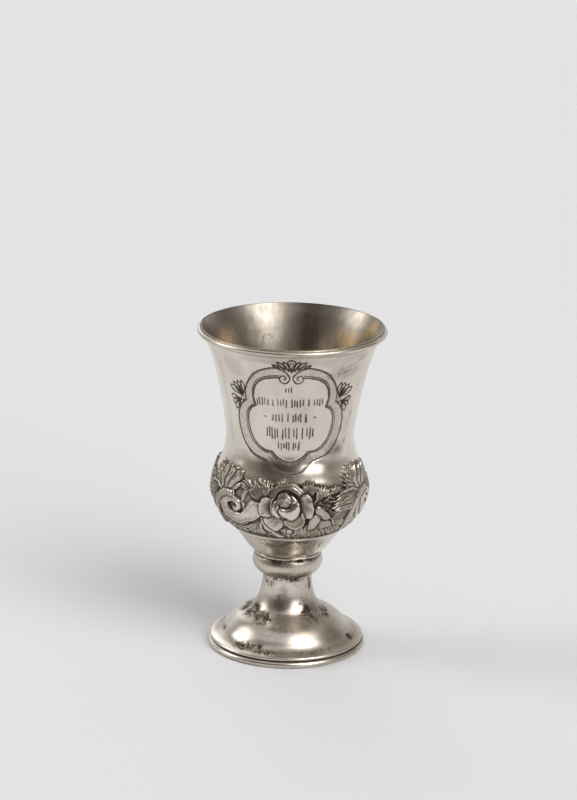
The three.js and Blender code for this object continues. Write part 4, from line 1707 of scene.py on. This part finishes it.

# %% [markdown]
# ## Dressing the pieces
#
# Each piece gets its finish, rides on the one body and replaces its solid of the frame. The
# bowl has two finishes, so its faces say which one they take.

# %% Dress the pieces
bowl_piece.data.materials.append(silver)
bowl_piece.data.materials.append(inside)
bowl_piece.data.polygons.foreach_set("material_index", inside_faces)

pieces = [
    (bowl_piece, "bowl", "silver", None), (lip_piece, "lip_wire", "silver", wire),
    (knop_piece, "knop", "worn_silver", worn), (foot_piece, "foot", "worn_silver", worn),
    (foot_wire_piece, "foot_wire", "worn_silver", wire),
]
for piece, node, slot, finish in pieces:
    if finish:
        piece.data.materials.append(finish)
    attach(piece, "root")
    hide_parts(node)
print("pieces dressed:", [piece.name for piece, *_ in pieces])

# %% [markdown]
# ## The room
#
# Metal shows its surroundings more than itself, so the room is drawn with care. The floor is
# one sheet of pale paper, large enough to fill the view.

# %% Floor
FLOOR_HALF = 4.0


def floor():
    """A square of pale paper that is stage and not part of the cup."""
    corners = [(-FLOOR_HALF, -FLOOR_HALF, 0), (FLOOR_HALF, -FLOOR_HALF, 0),
               (FLOOR_HALF, FLOOR_HALF, 0), (-FLOOR_HALF, FLOOR_HALF, 0)]
    mesh = bpy.data.meshes.new("floor")
    mesh.from_pydata(corners, [], [(0, 1, 2, 3)])
    made = bpy.data.objects.new("floor", mesh)
    bpy.context.scene.collection.objects.link(made)
    paper = Finish("pale_paper")
    shade = paper.blend(paper.noise(3, 2), (0.718, 0.723, 0.733, 1), (0.738, 0.743, 0.753, 1))
    mesh.materials.append(paper.surface(Base_Color=shade, Roughness=0.9))


floor()
print("floor laid,", 2 * FLOOR_HALF, "m wide")

# %% [markdown]
# ## Light from all round
#
# There is a white sheet behind the cup, a large soft panel in front on the right, a smaller
# one on the left and a dim one behind on the left, with grey darkness between them. Area lamps
# would do, but here all of it is painted on the sky, as if it were far away. Then the light is
# the same all over the floor, and the cup alone makes shadows.

# %% A sky made of directions


def heading(azimuth, elevation):
    """A direction from the cup: azimuth 0 is in front, positive to the right."""
    a, e = math.radians(azimuth), math.radians(elevation)
    return Vector((math.cos(e) * math.sin(a), -math.cos(e) * math.cos(a), math.sin(e)))


class Room(Nodes):
    """The sky round the cup, as light that depends on the direction."""

    def __init__(self, name):
        self.world = bpy.data.worlds.new(name)
        bpy.context.scene.world = self.world
        self.world.use_nodes = True
        super().__init__(self.world.node_tree)
        self.way = self.node("ShaderNodeTexCoord", {}, output="Generated")

    def towards(self, direction):
        """The cosine of the angle to a direction."""
        settings = {"operation": "DOT_PRODUCT"}
        return self.node("ShaderNodeVectorMath", settings, self.way, tuple(direction), output="Value")

    def step(self, value, low, high):
        """0 below low and 1 above high, or the other way round if high is the smaller one."""
        settings = {"interpolation_type": "SMOOTHSTEP"}
        if low < high:
            return self.node("ShaderNodeMapRange", settings, value, low, high)
        return 1 - self.node("ShaderNodeMapRange", settings, value, high, low)

    def panel(self, azimuth, elevation, width, height, edge):
        """1 on a soft rectangular panel and 0 beside it; its sizes are angles in degrees."""
        middle = heading(azimuth, elevation)
        right = heading(azimuth + 90, 0)
        up = right.cross(middle)
        facing = self.towards(middle)
        mask = self.step(facing, 0.1, 0.2)
        for side, size in ((right, width), (up, height)):
            reach = math.tan(math.radians(size / 2))
            soft = math.tan(math.radians(edge))
            slant = self.towards(side) / facing
            far = self.node("ShaderNodeMath", {"operation": "ABSOLUTE"}, slant)
            mask = mask * self.step(far, reach + soft, reach - soft)
        return mask


print("the front is at", [round(v, 2) for v in heading(0, 0)])

# %% [markdown]
# ## Panels and darkness
#
# A ramp over the height makes the sky pale at the horizon, dark above it and pale again
# overhead. The dark part is a little brown, as rooms are, and the panels and the sheet are pure
# white. Polished metal looks like metal because these bright and dark parts lie close together
# in it.

# %% Panels and sky
PANEL_GLOW = 4.6
SHEET_GLOW = 0.68


def light_the_room():
    """Pale at the horizon and overhead, dark and brown between, with the panels and the sheet."""
    room = Room("room")
    height = room.towards((0, 0, 1))
    shades = ((0.0, 0.52), (0.1, 0.4), (0.22, 0.2), (0.4, 0.14), (0.7, 0.26), (0.9, 0.62))
    sky = room.ramp(height, *shades)
    sky = sky * (1 - 0.6 * room.panel(-22, 22, 60, 44, 12))
    sheet = room.step(room.towards((0, 1, 0)), 0.42, 0.75) * room.step(height, 0.75, 0.4)
    panels = room.panel(42, 42, 34, 48, 8) * PANEL_GLOW + room.panel(-99, 30, 22, 30, 8) * PANEL_GLOW
    panels = panels + room.panel(-164, 34, 32, 40, 12)
    warmth = room.blend(room.step(sky, 0.5, 0.2), (1, 1, 1, 1), (1.12, 0.98, 0.84, 1))
    scale = {"operation": "SCALE"}
    wall = room.node("ShaderNodeVectorMath", scale, warmth, Scale=sky * (1 - sheet))
    white = room.node("ShaderNodeVectorMath", scale, (1, 1, 1), Scale=sheet * SHEET_GLOW + panels)
    light = room.node("ShaderNodeVectorMath", {"operation": "ADD"}, wall, white)
    room.node("ShaderNodeBackground", {}, light, 1.0).to(room.nodes["World Output"].inputs["Surface"])


light_the_room()
bpy.context.scene.view_settings.view_transform = "Standard"
print("room lit by", len(bpy.context.scene.world.node_tree.nodes), "nodes of sky")

# %% [markdown]
# ## The camera
#
# It looks down a little on the cup from just over a metre away, through a long lens, which
# keeps the circles of lip and foot calm. It is turned a touch, so the cup leans to the right.

# %% Camera
LENS = 130.5
PITCH = math.radians(16.82)
ROLL = math.radians(1.19)
DISTANCE = 1.13
AIM = Vector((-0.000945, 0, 0.1001))


def camera():
    """A camera that looks at AIM from DISTANCE metres, PITCH above the level."""
    data = bpy.data.cameras.new("camera")
    data.lens = LENS
    data.sensor_width = 36
    data.sensor_fit = "AUTO"
    made = bpy.data.objects.new("camera", data)
    made.location = AIM + DISTANCE * Vector((0, -math.cos(PITCH), math.sin(PITCH)))
    way = AIM - made.location
    turn = way.to_track_quat("-Z", "Y").to_matrix()
    made.rotation_euler = (turn @ Matrix.Rotation(ROLL, 3, "Z")).to_euler()
    bpy.context.scene.collection.objects.link(made)
    bpy.context.scene.camera = made


camera()
print("camera stands at", [round(v, 3) for v in bpy.context.scene.camera.location])

# %% [markdown]
